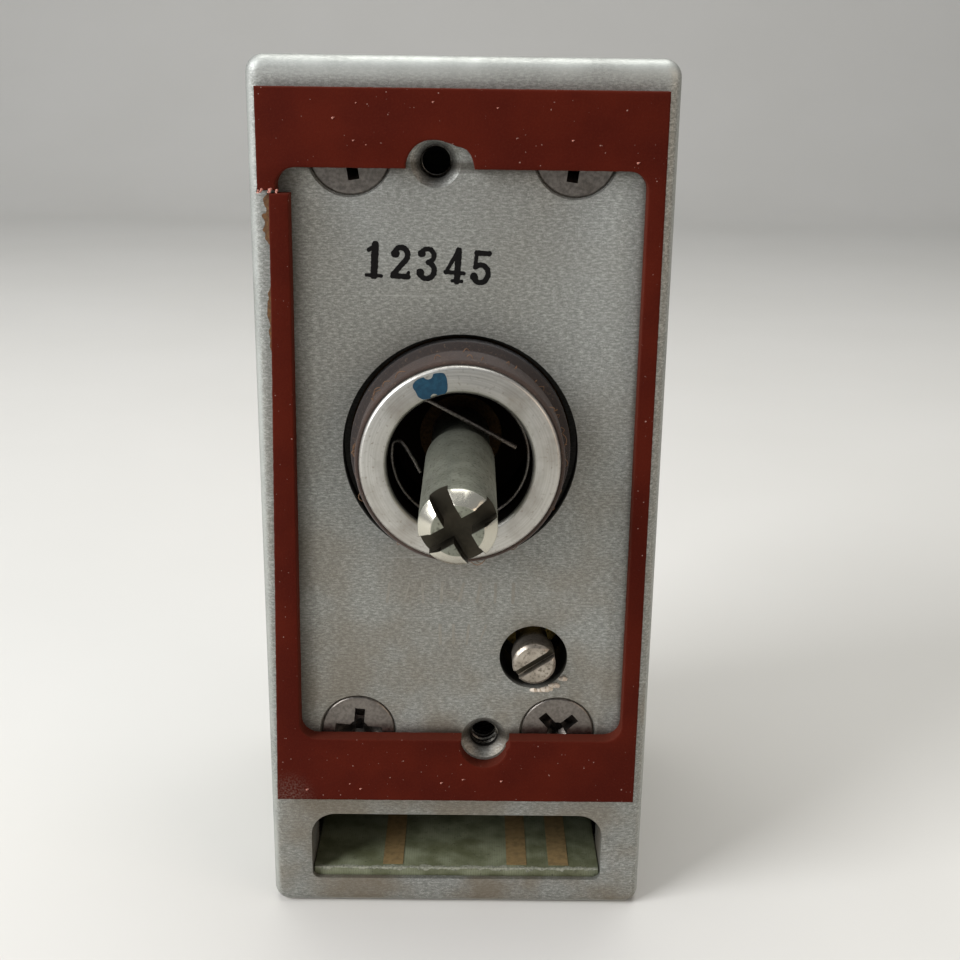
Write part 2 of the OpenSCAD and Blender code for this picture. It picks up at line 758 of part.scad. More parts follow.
module rotor_blade() color("#c9a24f")
    slab(wafer_y + wafer_t, wafer_y + wafer_t + blade_t) difference() {
        circle(8.4);
        circle(6.6);
        polygon([[0, 0], [12, -3], [12, 3]]);
    }

// ---- spindle -------------------------------------------------------------------------

module spindle() color("#7d7f79") {
    tip = -spindle_proud;
    groove_y = yoke_y + yoke_t + yoke_gap;
    groove_end_y = groove_y + spindle_clip_t + overlap;
    difference() {
        turned([[0, tip], [spindle_r - spindle_chamfer, tip],
                [spindle_r, tip + spindle_chamfer], [spindle_r, shaft_y],
                [shaft_r, shaft_y], [shaft_r, yoke_y - yoke_gap],
                [journal_r, yoke_y - yoke_gap], [journal_r, groove_y],
                [spindle_clip_land_r, groove_y], [spindle_clip_land_r, groove_end_y],
                [journal_r, groove_end_y], [journal_r, spindle_end_y], [0, spindle_end_y]]);
        for (turn = [cross_slot_angle, cross_slot_angle + 90])
            translate([0, tip, 0]) rotate([0, -turn, 0])
                translate([-spindle_r - cut, -cut, -cross_slot_w / 2])
                    cube([spindle_d + 2 * cut, cross_slot_depth + cut, cross_slot_w]);
        translate([0, cam_pin_y, -spindle_d]) cylinder(h = 2 * spindle_d, r = cam_pin_r + snug);
    }
}

module thrust_yoke() color("#8f9193") {
    half_w = 4;
    half_h = 21.5;
    finger_x = -14.6;
    finger_half_h = 3;
    slab(yoke_y, yoke_y + yoke_t) difference() {
        union() {
            card(-half_w, -half_h, half_w, half_h, half_w / 2, half_w / 2);
            card(finger_x, -finger_half_h, 0, finger_half_h, 1, 1);
        }
        circle(journal_r + running);
        for (at = guide_at) translate(at) circle(guide_r + running);
    }
}

module spindle_clip() color("#4f4f52") {
    front = yoke_y + yoke_t + 2 * yoke_gap;
    mouth = [[0, 0], [-1.6, -7], [1.6, -7]];
    slab(front, front + spindle_clip_t) difference() {
        circle(4.3);
        circle(spindle_clip_land_r + snug);
        polygon(mouth);
    }
}

module return_springs() color("#a9abad") {
    from = yoke_y + yoke_t + spring_wire_r + snug;
    to = bearing_y - spring_wire_r - snug;
    turns = 5;
    steps = 14;
    for (at = guide_at)
        translate([at[0], 0, at[1]])
            swept([for (k = [0 : steps * turns])
                       let (a = 360 * k / steps)
                       [spring_coil_r * cos(a), from + (to - from) * k / (steps * turns),
                        spring_coil_r * sin(a)]], spring_wire_r, 8, across_y);
}

module rear_bush() color("#a67c45") difference() {
    flange_t = 1;
    flange_w = 1.2;
    union() {
        rod(bearing_y - overlap, bearing_y + bearing_t + overlap, spindle_bush_r - snug);
        rod(bearing_y + bearing_t, bearing_y + bearing_t + flange_t, spindle_bush_r + flange_w);
    }
    rod(bearing_y - cut, bearing_y + bearing_t + flange_t + cut, journal_r + running);
}

// Cam whose face climbs evenly with the angle over a quarter turn, then drops back
cam_climb = 90;
cam_dwell = 110;
cam_drop = 150;
function cam_radius(a) =
    a <= cam_climb ? cam_low_r + cam_lift * a / cam_climb
    : a <= cam_dwell ? cam_low_r + cam_lift
    : a <= cam_drop ? cam_low_r + cam_lift * (cam_drop - a) / (cam_drop - cam_dwell)
    : cam_low_r;

module switch_cam() color("#ddd8c8") difference() {
    slab(cam_y, cam_y + cam_t) difference() {
        polygon([for (a = [0 : 5 : 355]) cam_radius(a) * [cos(-a), sin(-a)]]);
        circle(journal_r + snug);
    }
    translate([0, cam_pin_y, -cam_low_r + 0.4])
        cylinder(h = 2 * cam_low_r - 0.8, r = cam_pin_r + snug);
}

module cam_pin() color("#c0c2c0")
    translate([0, cam_pin_y, -cam_low_r + 0.5]) cylinder(h = 2 * cam_low_r - 1, r = cam_pin_r);

// ---- switches ------------------------------------------------------------------------

// Drilled box of a snap switch, between two X positions, with its two screw holes
module switch_box(x0, x1, y0) difference() {
    translate([x0, y0, -switch_half_h]) cube([x1 - x0, bearing_y - y0, 2 * switch_half_h]);
    for (z = [-switch_screw_z, switch_screw_z])
        rod(switch_screw_tip_y - blind, bearing_y + cut, switch_screw_r + loose,
            [sign(x0 + x1) * switch_screw_x, z]);
}

module cam_switch_body() color("#2b2c2e") difference() {
    switch_box(switch_near_x, switch_far_x, cam_y);
    translate([switch_near_x - cut, cam_plunger_y, 0]) rotate([0, 90, 0])
        cylinder(h = plunger_len - 0.4 + cut, r = plunger_r + loose);
}

module push_switch_body() color("#2b2c2e") difference() {
    switch_box(-switch_far_x, -switch_near_x, push_switch_y);
    rod(push_switch_y - cut, push_plunger_end_y + push_travel + 0.5, plunger_r + loose,
        [push_plunger_x, 0]);
}

module cam_switch_plunger() color("#b8482f") {
    nose = 0.7;
    nose_tip_r = 0.3;
    translate([cam_low_r + plunger_gap, cam_plunger_y, 0]) rotate([0, 90, 0]) {
        cylinder(h = nose, r1 = nose_tip_r, r2 = plunger_r);
        translate([0, 0, nose - snug]) cylinder(h = plunger_len, r = plunger_r);
    }
}

module push_switch_plunger() color("#b8482f")
    rod(yoke_y + yoke_t + 2 * seat, push_plunger_end_y, plunger_r, [push_plunger_x, 0]);

module switch_screws() color("#9a958c")
    for (x = [-switch_screw_x, switch_screw_x], z = [-switch_screw_z, switch_screw_z])
        pan_screw(bearing_y + bearing_t, switch_screw_tip_y, switch_screw_r, 1.7, 1, [x, z]);

module switch_terminals() color("#c9b27a") {
    blade = [1.6, 0.4, 3.5];
    for (x = terminal_x)
        translate([x - blade[0] / 2, terminal_y, -switch_half_h - blade[2]]) cube(blade);
}

// ---- adjuster ------------------------------------------------------------------------

module adjuster_screw() color("#a3a29c") {
    head_r = adjuster_head_d / 2;
    front = -adjuster_proud;
    edge = 0.3;
    slot_depth = 1;
    difference() {
        turned([[0, front], [head_r - edge, front], [head_r, front + edge],
                [head_r, adjuster_shoulder_y], [adjuster_shaft_r, adjuster_shoulder_y],
                [adjuster_shaft_r, adjuster_end_y], [0, adjuster_end_y]], adjuster_at);
        translate([adjuster_x, front, adjuster_z]) rotate([0, -adjuster_slot_angle, 0])
            translate([-head_r - cut, -cut, -adjuster_slot_w / 2])
                cube([2 * (head_r + cut), slot_depth + cut, adjuster_slot_w]);
    }
}

module trimmer_bush() color("#b3a15f") difference() {
    front = 9;
    rod(front, mid_y + mid_t, adjuster_shaft_r * 2, adjuster_at);
    rod(front - cut, mid_y + mid_t + cut, adjuster_shaft_r + running, adjuster_at);
}

module trimmer_nut() color("#9a958c") difference() {
    nut_t = 1.8;
    nut_r = 4.4;
    translate([adjuster_x, mid_y - nut_t, adjuster_z]) rotate([-90, 0, 0])
        cylinder(h = nut_t, r = nut_r, $fn = 6);
    rod(mid_y - nut_t - cut, mid_y + cut, adjuster_shaft_r * 2 + seat, adjuster_at);
}

module trimmer_body() color("#30506b") difference() {
    inside_y = mid_y + mid_t + trimmer_wall;
    rod(mid_y + mid_t, trimmer_end_y, trimmer_r, adjuster_at);
    rod(inside_y, trimmer_end_y - trimmer_wall, trimmer_r - trimmer_wall, adjuster_at);
    rod(mid_y, inside_y + overlap, adjuster_shaft_r + 2 * loose, adjuster_at);
    for (at = trimmer_pin_at)
        rod(trimmer_end_y - cut, trimmer_end_y + cut, trimmer_pin_r, at);
}

module trimmer_track() color("#1f1f20") {
    back = trimmer_end_y - trimmer_wall;
    ring(back - 0.5, back, 4.5, 3.1, adjuster_at);
}

module trimmer_wiper() color("#c9a24f") difference() {
    disc_t = 0.8;
    disc_r = 3.9;
    brush_r = 0.4;
    brush_tip_y = trimmer_end_y - trimmer_wall - 0.6;
    union() {
        rod(wiper_y, wiper_y + disc_t, disc_r, adjuster_at);
        rod(wiper_y + disc_t - overlap, brush_tip_y, brush_r, adjuster_at + [0, 3.3]);
    }
    rod(wiper_y - cut, wiper_y + disc_t + cut, adjuster_shaft_r + snug, adjuster_at);
}

module trimmer_pins() color("#c9b27a")
    for (at = trimmer_pin_at)
        rod(trimmer_end_y - 0.5, trimmer_end_y + 3, trimmer_pin_r, at);

// ---- circuit board -------------------------------------------------------------------

module circuit_board() color("#6c7460") difference() {
    translate([-board_half_w, board_front_y, board_low_z])
        cube([2 * board_half_w, board_back_y - board_front_y, board_t]);
    for (at = board_screw_at)
        translate([at[0], at[1], board_low_z - cut])
            cylinder(h = board_t + 2 * cut, r = board_hole_r);
}

module contact_tracks() color("#8a6a44")
    for (x = track_x)
        translate([x - track_w / 2, track_front_y, board_top_z])
            cube([track_w, track_back_y - track_front_y, track_t]);

module board_washers() color("#d9d4c4")
    for (at = board_screw_at)
        translate([at[0], at[1], floor_z]) difference() {
            cylinder(h = board_low_z - floor_z, r = 2.6);
            translate([0, 0, -cut]) cylinder(h = board_t + 2 * cut, r = board_hole_r);
        }

module board_screws() color("#9a958c") {
    head_h = 1.2;
    head_r = 2.1;
    slot = 0.6;
    tip_z = floor_z - board_screw_sunk;
    for (at = board_screw_at)
        translate([at[0], at[1], 0]) difference() {
            union() {
                translate([0, 0, board_top_z]) cylinder(h = head_h, r = head_r);
                translate([0, 0, tip_z])
                    cylinder(h = board_top_z - tip_z + overlap, r = small_screw_r);
            }
            translate([-head_r - cut, -slot / 2, board_top_z + head_h - slot])
                cube([2 * (head_r + cut), slot, slot + cut]);
        }
}

module lead_wires() color("#c8c2b0")
    for (route = wire_routes) swept(route, wire_r);

// ---- one solid set per node ----------------------------------------------------------

front_plate();
case_body();
rear_gasket();
rear_cover();
case_bolts();
face_gasket();
face_screws();
front_standoffs();
mechanism_plate();
rear_standoffs();
bearing_plate();
standoff_screws();
collar_bush();
collar_thrust_washer();
detent_post();
detent_post_screw();
detent_spring();
detent_clamp_screw();
stop_pin();
wafer_stator();
wafer_contacts();
wafer_spacers();
wafer_screws();
guide_pins();
return_springs();
rear_bush();
cam_switch_body();
push_switch_body();
switch_screws();
switch_terminals();
trimmer_bush();
trimmer_nut();
trimmer_body();
trimmer_track();
trimmer_pins();
circuit_board();
contact_tracks();
board_washers();
board_screws();
lead_wires();
selector_collar();
collar_seal();
collar_circlip();
detent_wheel();
thrust_ring();
spindle_bushes();
grip_spring();
wafer_rotor();
rotor_blade();
thrust_yoke();
spindle();
spindle_clip();
switch_cam();
cam_pin();
cam_switch_plunger();
push_switch_plunger();
adjuster_screw();
trimmer_wiper();
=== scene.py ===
"""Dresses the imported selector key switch: finishes, fine pieces, studio and camera.

Every size below is in millimetres unless its name says otherwise. The origin is on the
control axis at the front face of the plate, X is to the right, Y runs into the case and Z
is up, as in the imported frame.
"""
from __future__ import annotations

import logging
import math
import random
from collections.abc import Callable, Sequence
from dataclasses import dataclass
from enum import Enum
from functools import partial, reduce

import bmesh
import bpy
from mathutils import Matrix, Vector, geometry, noise


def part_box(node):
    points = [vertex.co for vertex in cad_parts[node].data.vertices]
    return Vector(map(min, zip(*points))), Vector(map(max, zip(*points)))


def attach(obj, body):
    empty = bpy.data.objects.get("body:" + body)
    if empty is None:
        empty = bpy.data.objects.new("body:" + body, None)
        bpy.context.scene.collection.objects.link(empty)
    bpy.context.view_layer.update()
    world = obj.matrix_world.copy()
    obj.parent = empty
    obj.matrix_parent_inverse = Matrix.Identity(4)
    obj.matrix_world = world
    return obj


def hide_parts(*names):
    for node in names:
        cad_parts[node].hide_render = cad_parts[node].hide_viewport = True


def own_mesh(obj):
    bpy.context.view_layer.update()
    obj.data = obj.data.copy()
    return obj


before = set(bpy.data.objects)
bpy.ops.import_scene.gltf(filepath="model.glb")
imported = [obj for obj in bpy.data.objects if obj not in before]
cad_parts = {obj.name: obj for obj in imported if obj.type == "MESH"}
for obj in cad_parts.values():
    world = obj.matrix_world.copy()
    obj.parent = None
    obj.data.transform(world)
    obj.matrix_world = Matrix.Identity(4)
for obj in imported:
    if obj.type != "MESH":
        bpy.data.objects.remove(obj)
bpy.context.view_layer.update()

LOG = logging.getLogger("key_switch")

MM = 0.001
SMOOTH_ANGLE = math.radians(32)
FLAT_ANGLE = math.radians(0.8)
EDGE_FACETS = 2
WELD_M = 1e-6

Point2 = tuple[float, float]
Point3 = tuple[float, float, float]
Solid = tuple[list[Point3], list[tuple[int, ...]]]
Socket = bpy.types.NodeSocket
Feed = Socket | str | float | tuple[float, ...]
Put = Callable[..., Socket]


# ---- shared helpers --------------------------------------------------------------------


def linear(code: str) -> tuple[float, float, float, float]:
    """Turns an sRGB hex colour into linear light.

    Args:
        code: the colour, as "#rrggbb".

    Returns:
        Red, green, blue and an alpha of one.
    """
    parts = [int(code[i : i + 2], 16) / 255 for i in (1, 3, 5)]
    r, g, b = (p / 12.92 if p <= 0.04045 else ((p + 0.055) / 1.055) ** 2.4 for p in parts)
    return r, g, b, 1.0


class Node(Enum):
    """A kind of node: its type, its inputs in the order fed, its output and its settings."""

    PLACE = ("ShaderNodeTexCoord", (), "Object", {})
    FACING = ("ShaderNodeTexCoord", (), "Normal", {})
    SPLIT = ("ShaderNodeSeparateXYZ", (0,), 0, {})
    ENLARGE = ("ShaderNodeVectorMath", (0, "Scale"), 0, {"operation": "SCALE"})
    STRETCH = ("ShaderNodeVectorMath", (0, 1), 0, {"operation": "MULTIPLY"})
    SHIFT = ("ShaderNodeVectorMath", (0, 1), 0, {"operation": "SUBTRACT"})
    LENGTH = ("ShaderNodeVectorMath", (0,), "Value", {"operation": "LENGTH"})
    APART = ("ShaderNodeVectorMath", (0, 1), "Value", {"operation": "DISTANCE"})
    TURN = ("ShaderNodeMapping", ("Vector", "Rotation", "Scale", "Location"), 0, {})
    NOISE = (
        "ShaderNodeTexNoise", ("Vector", "Scale", "Detail", "Roughness", "Distortion"), 0, {},
    )
    RINGS = ("ShaderNodeTexNoise", ("W", "Scale", "Detail"), 0, {"noise_dimensions": "1D"})
    THREADS = ("ShaderNodeTexWave", ("Vector", "Scale", "Distortion"), 1, {"wave_type": "BANDS"})
    EASE = ("ShaderNodeMapRange", (0, 1, 2), 0, {"interpolation_type": "SMOOTHSTEP"})
    RANGE = ("ShaderNodeMapRange", (0, 1, 2, 3, 4), 0, {})
    TINT = ("ShaderNodeMix", (0, 6, 7), 2, {"data_type": "RGBA"})
    TIMES = ("ShaderNodeMath", (0, 1), 0, {"operation": "MULTIPLY"})
    TIMES_PLUS = ("ShaderNodeMath", (0, 1, 2), 0, {"operation": "MULTIPLY_ADD"})
    MINUS = ("ShaderNodeMath", (0, 1), 0, {"operation": "SUBTRACT"})
    LARGER = ("ShaderNodeMath", (0, 1), 0, {"operation": "MAXIMUM"})
    UNSIGNED = ("ShaderNodeMath", (0,), 0, {"operation": "ABSOLUTE"})
    BUMP = ("ShaderNodeBump", ("Height", "Strength", "Distance"), 0, {})
    METAL = (
        "ShaderNodeBsdfPrincipled", ("Base Color", "Roughness", "Normal", "Metallic"), 0, {},
    )
    COAT = (
        "ShaderNodeBsdfPrincipled",
        ("Base Color", "Roughness", "Normal", "IOR", "Specular IOR Level", "Sheen Weight"), 0, {},
    )
    PAPER = ("ShaderNodeBsdfPrincipled", ("Base Color", "Roughness", "IOR"), 0, {})
    SURFACE = ("ShaderNodeOutputMaterial", ("Surface",), None, {})
    GLOW = ("ShaderNodeBackground", ("Color", "Strength"), 0, {})
    WORLD = ("ShaderNodeOutputWorld", ("Surface",), None, {})
    SHAPE_IN = ("NodeGroupInput", (), 0, {})
    SHAPE_OUT = ("NodeGroupOutput", (0,), None, {})
    SHADING = ("GeometryNodeSetShadeSmooth", (0, "Shade Smooth"), 0, {})
    EDGE_ANGLE = ("GeometryNodeInputMeshEdgeAngle", (), 0, {})
    BELOW = ("FunctionNodeCompare", (0, 1), 0, {"operation": "LESS_THAN"})


def add(tree: bpy.types.NodeTree, kind: Node, *feeds: Feed, **settings: str) -> Socket | None:
    """Adds a node with its settings, values and links.

    Args:
        tree: the tree that takes the node.
        kind: what the node does.
        *feeds: for each input in turn, an output to link, a hex colour or a plain value.
        **settings: further properties of the node.

    Returns:
        The output that the node hands on, or None for a tree's last node.
    """
    type_name, inputs, output, fixed = kind.value
    made = tree.nodes.new(type_name)
    for name, value in {**fixed, **settings}.items():
        setattr(made, name, value)
    for key, value in zip(inputs, feeds):
        if isinstance(value, bpy.types.NodeSocket):
            tree.links.new(value, made.inputs[key])
        else:
            made.inputs[key].default_value = linear(value) if isinstance(value, str) else value
    return None if output is None else made.outputs[output]


def smooth_group() -> bpy.types.NodeTree:
    """Builds, once, the modifier tree that smooths every edge but the sharp ones.

    Returns:
        The tree.
    """
    if "smooth_by_angle" in bpy.data.node_groups:
        return bpy.data.node_groups["smooth_by_angle"]
    tree = bpy.data.node_groups.new("smooth_by_angle", "GeometryNodeTree")
    for way in ("INPUT", "OUTPUT"):
        tree.interface.new_socket("Geometry", in_out=way, socket_type="NodeSocketGeometry")
    faces = add(tree, Node.SHADING, add(tree, Node.SHAPE_IN), True, domain="FACE")
    soft = add(tree, Node.BELOW, add(tree, Node.EDGE_ANGLE), SMOOTH_ANGLE)
    add(tree, Node.SHAPE_OUT, add(tree, Node.SHADING, faces, soft, domain="EDGE"))
    return tree


def smoothstep(low: float, high: float, value: float) -> float:
    """Climbs smoothly from 0 at low to 1 at high."""
    t = min(max((value - low) / (high - low), 0.0), 1.0)
    return t * t * (3 - 2 * t)


def interpolate(stops: Sequence[Point2], at: float) -> float:
    """Reads a value between the stops of a piecewise line.

    Args:
        stops: (place, value) pairs in climbing order of place.
        at: the place to read.

    Returns:
        The value there, held level beyond the end stops.
    """
    if at <= stops[0][0]:
        return stops[0][1]
    for (a, u), (b, v) in zip(stops, stops[1:]):
        if at <= b:
            return u + (v - u) * (at - a) / (b - a)
    return stops[-1][1]


def arc_points(
    centre: Point2, radius: Point2, start: float, end: float, steps: int
) -> list[Point2]:
    """Points along part of an ellipse.

    Args:
        centre: its middle.
        radius: its half axes.
        start: first angle in degrees.
        end: last angle in degrees.
        steps: how many chords it takes.

    Returns:
        steps + 1 points.
    """
    angles = [math.radians(start + (end - start) * k / steps) for k in range(steps + 1)]
    return [
        (centre[0] + radius[0] * math.cos(a), centre[1] + radius[1] * math.sin(a))
        for a in angles
    ]


def segment_distance(p: Point2, a: Point2, b: Point2) -> tuple[float, float]:
    """Finds how near a point is to a segment.

    Args:
        p: the point.
        a: the segment's start.
        b: the segment's end.

    Returns:
        The distance, and the share of the way along, 0 to 1, where it is nearest.
    """
    dx, dz = b[0] - a[0], b[1] - a[1]
    length2 = dx * dx + dz * dz or 1e-12
    t = min(max(((p[0] - a[0]) * dx + (p[1] - a[1]) * dz) / length2, 0.0), 1.0)
    return math.hypot(p[0] - a[0] - t * dx, p[1] - a[1] - t * dz), t


def film(
    inside: Callable[[float, float], float],
    low: Point2,
    high: Point2,
    cell: float,
    place: Callable[[float, float, float], Point3],
    thickness: float,
) -> Solid:
    """Builds a thin closed sheet over the area where a field is positive.

    Args:
        inside: the field, positive inside the sheet.
        low: lowest corner of the area searched.
        high: highest corner of the area searched.
        cell: spacing of the grid.
        place: turns (u, v, height above the surface) into a point.
        thickness: height of the sheet's outer side above its inner side.

    Returns:
        Points and faces of the closed sheet.
    """
    columns = int((high[0] - low[0]) / cell) + 1
    rows = int((high[1] - low[1]) / cell) + 1
    value = {
        (i, j): inside(low[0] + i * cell, low[1] + j * cell)
        for i in range(columns + 1)
        for j in range(rows + 1)
    }
    flat: list[Point2] = []
    index: dict[tuple, int] = {}

    def corner(a: tuple[int, int], b: tuple[int, int]) -> int:
        """Finds or makes the point where the edge from a to b crosses the outline.

        Args:
            a: a grid place.
            b: the next grid place, or a again for the place itself.

        Returns:
            The point's number.
        """
        key = (a, b) if a <= b else (b, a)
        if key not in index:
            (i, j), (k, m) = key
            va, vb = value[key[0]], value[key[1]]
            t = 0.0 if key[0] == key[1] else min(max(va / (va - vb), 0.04), 0.96)
            index[key] = len(flat)
            flat.append((low[0] + (i + (k - i) * t) * cell, low[1] + (j + (m - j) * t) * cell))
        return index[key]

    faces: list[tuple[int, ...]] = []
    for i in range(columns):
        for j in range(rows):
            ring = [(i, j), (i + 1, j), (i + 1, j + 1), (i, j + 1)]
            face: list[int] = []
            for a, b in zip(ring, ring[1:] + ring[:1]):
                if value[a] > 0:
                    face.append(corner(a, a))
                if (value[a] > 0) != (value[b] > 0):
                    face.append(corner(a, b))
            if len(face) > 2:
                faces.append(tuple(face))
    count = len(flat)
    points = [place(u, v, thickness) for u, v in flat] + [place(u, v, 0.0) for u, v in flat]
    edges = {(a, b) for f in faces for a, b in zip(f, f[1:] + f[:1])}
    sides = [(b, a, a + count, b + count) for a, b in edges if (b, a) not in edges]
    backs = [tuple(k + count for k in reversed(f)) for f in faces]
    return points, faces + backs + sides


def tube(path: Sequence[Point3], radius: Callable[[float], float], sides: int = 12) -> Solid:
    """Sweeps a round section along a path, with closed ends.

    Args:
        path: points of the path.
        radius: the section's radius at a share, 0 to 1, of the way along.
        sides: corners of the section.

    Returns:
        Points and faces of the closed tube.
    """
    line = [Vector(p) for p in path]
    last = len(line) - 1
    headings = [
        (line[min(i + 1, last)] - line[max(i - 1, 0)]).normalized() for i in range(last + 1)
    ]
    across = headings[0].orthogonal().normalized()
    points: list[Point3] = []
    for i, (centre, heading) in enumerate(zip(line, headings)):
        across = (across - heading * across.dot(heading)).normalized()
        other = heading.cross(across)
        r = radius(i / last)
        for k in range(sides):
            a = math.tau * k / sides
            points.append(tuple(centre + r * (math.cos(a) * across + math.sin(a) * other)))
    faces = [
        (i * sides + k, i * sides + (k + 1) % sides, (i + 1) * sides + (k + 1) % sides,
         (i + 1) * sides + k)
        for i in range(last)
        for k in range(sides)
    ]
    faces.append(tuple(reversed(range(sides))))
    faces.append(tuple(last * sides + k for k in range(sides)))
    return points, faces


def spline(stops: Sequence[Point3], steps: int) -> list[Point3]:
    """Points of a smooth curve through the stops.

    Args:
        stops: the places it passes.
        steps: how many chords it takes from one stop to the next.

    Returns:
        The points, from the first stop to the last.
    """
    ends = [stops[0], *stops, stops[-1]]
    line = []
    for a, b, c, d in zip(ends, ends[1:], ends[2:], ends[3:]):
        for k in range(steps):
            t = k / steps
            line.append(tuple(
                q + 0.5 * t * (r - p + t * (2 * p - 5 * q + 4 * r - s + t * (3 * (q - r) + s - p)))
                for p, q, r, s in zip(a, b, c, d)
            ))
    return [*line, tuple(stops[-1])]


def lathe(profile: Sequence[Point2], at: Point2, sides: int) -> Solid:
    """Turns a closed profile about a line along Y.

    Args:
        profile: (radius, y) points; the first and last have a radius of 0.
        at: x and z of the line.
        sides: steps round the line.

    Returns:
        Points and faces of the closed solid.
    """
    points: list[Point3] = [(at[0], profile[0][1], at[1])]
    for radius, y in profile[1:-1]:
        for k in range(sides):
            a = math.tau * k / sides
            points.append((at[0] + radius * math.cos(a), y, at[1] + radius * math.sin(a)))
    points.append((at[0], profile[-1][1], at[1]))
    faces: list[tuple[int, ...]] = []
    rings = len(profile) - 2
    for k in range(sides):
        n = (k + 1) % sides
        faces.append((0, 1 + k, 1 + n))
        for i in range(rings - 1):
            a, b = 1 + i * sides, 1 + (i + 1) * sides
            faces.append((a + k, b + k, b + n, a + n))
        a = 1 + (rings - 1) * sides
        faces.append((a + n, a + k, len(points) - 1))
    return points, faces


def joined(solids: Sequence[Solid]) -> Solid:
    """Puts several closed shells into one list of points and faces.

    Args:
        solids: the shells.

    Returns:
        All their points and faces.
    """
    points: list[Point3] = []
    faces: list[tuple[int, ...]] = []
    for some_points, some_faces in solids:
        base = len(points)
        points += some_points
        faces += [tuple(k + base for k in f) for f in some_faces]
    return points, faces


def make_mesh(name: str, solid: Solid) -> bpy.types.Mesh:
    """Turns points in millimetres and faces into a mesh in metres with outward faces.

    Args:
        name: the mesh's name.
        solid: points and faces.

    Returns:
        The mesh.
    """
    mesh = bpy.data.meshes.new(name)
    mesh.from_pydata([tuple(c * MM for c in p) for p in solid[0]], [], solid[1])
    shape = bmesh.new()
    shape.from_mesh(mesh)
    bmesh.ops.recalc_face_normals(shape, faces=shape.faces)
    shape.to_mesh(mesh)
    shape.free()
    return mesh


def carve(body: bpy.types.Mesh, cutters: Sequence[bpy.types.Mesh]) -> bpy.types.Mesh:
    """Cuts shapes out of a mesh and returns what is left.

    Args:
        body: the mesh to cut.
        cutters: closed meshes, each cut away in turn.

    Returns:
        The carved mesh.
    """
    scene = bpy.context.scene
    block = bpy.data.objects.new("block", body)
    tools = [bpy.data.objects.new("tool", cutter) for cutter in cutters]
    for made in (block, *tools):
        scene.collection.objects.link(made)
    for tool in tools:
        cut = block.modifiers.new("cut", "BOOLEAN")
        cut.object, cut.operation, cut.solver = tool, "DIFFERENCE", "EXACT"
    found = block.evaluated_get(bpy.context.evaluated_depsgraph_get())
    carved = bpy.data.meshes.new_from_object(found)
    for made in (block, *tools):
        bpy.data.objects.remove(made)
    return carved


def soften(piece: bpy.types.Object, edge: float = 0.0) -> None:
    """Rounds a piece's sharp edges and smooths the rest, all by modifiers.

    Args:
        piece: the piece.
        edge: width of the rounding, or 0 for none.
    """
    weld = piece.modifiers.new("weld", "WELD")
    weld.merge_threshold = WELD_M
    if edge:
        flat = piece.modifiers.new("flat", "DECIMATE")
        flat.decimate_type, flat.angle_limit = "DISSOLVE", FLAT_ANGLE
        bevel = piece.modifiers.new("edge", "BEVEL")
        bevel.width, bevel.segments = edge * MM, EDGE_FACETS
        bevel.limit_method, bevel.angle_limit = "ANGLE", SMOOTH_ANGLE
    smooth = piece.modifiers.new("smooth", "NODES")
    smooth.node_group = smooth_group()


def dress(node: str, finish: Finish, edge: float = 0.0) -> bpy.types.Object:
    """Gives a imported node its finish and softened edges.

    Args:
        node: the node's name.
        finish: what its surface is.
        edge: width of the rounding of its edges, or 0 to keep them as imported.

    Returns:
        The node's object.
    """
    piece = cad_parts[node]
    piece.data.materials.clear()
    piece.data.materials.append(finish.material())
    if edge:
        if "custom_normal" in piece.data.attributes:
            piece.data.attributes.remove(piece.data.attributes["custom_normal"])
        soften(piece, edge)
    LOG.info("dressed %s with %s", node, finish.name)
    return piece


def add_piece(
    name: str, shape: Solid | bpy.types.Mesh, finish: Finish, body: str
) -> bpy.types.Object:
    """Puts a new piece in the scene, on its body and with its finish.

    Args:
        name: the piece's name.
        shape: its points and faces in millimetres, or its mesh in metres.
        finish: what its surface is.
        body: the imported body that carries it.

    Returns:
        The new object.
    """
    mesh = make_mesh(name, shape) if isinstance(shape, tuple) else shape
    piece = bpy.data.objects.new(name, mesh)
    mesh.materials.clear()
    mesh.materials.append(finish.material())
    bpy.context.scene.collection.objects.link(piece)
    soften(piece)
    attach(piece, body)
    LOG.info("built %s on %s, %d faces", name, body, len(mesh.polygons))
    return piece

# ---- finishes --------------------------------------------------------------------------


def object_mm(put: Put) -> Socket:
    """Places on the piece, in millimetres, which move with it."""
    return put(Node.ENLARGE, put(Node.PLACE), 1 / MM)


def radius_from(put: Put, place: Socket, at: Point2) -> Socket:
    """Distance in millimetres from a line along Y."""
    off = put(Node.SHIFT, place, (at[0], 0.0, at[1]))
    return put(Node.LENGTH, put(Node.STRETCH, off, (1.0, 0.0, 1.0)))


class Finish:
    """A finish that builds its material once and hands it out again."""

    name: str

    def shade(self, put: Put) -> Socket:
        """Adds the surface's nodes and returns its shader."""
        raise NotImplementedError

    def material(self) -> bpy.types.Material:
        """Builds the finish's material at the first call.

        Returns:
            The material.
        """
        made = bpy.data.materials.get(self.name) or bpy.data.materials.new(self.name)
        if not made.get("built"):
            made["built"] = True
            made.use_nodes = True
            made.node_tree.nodes.clear()
            put = partial(add, made.node_tree)
            put(Node.SURFACE, self.shade(put))
        return made


class Grain(Enum):
    """How a metal's surface was made, as the stretch of its grain along X, Y and Z."""

    BLASTED = (1.0, 1.0, 1.0)
    ROLLED = (0.16, 1.0, 1.0)
    DRAWN = (1.0, 0.12, 1.0)


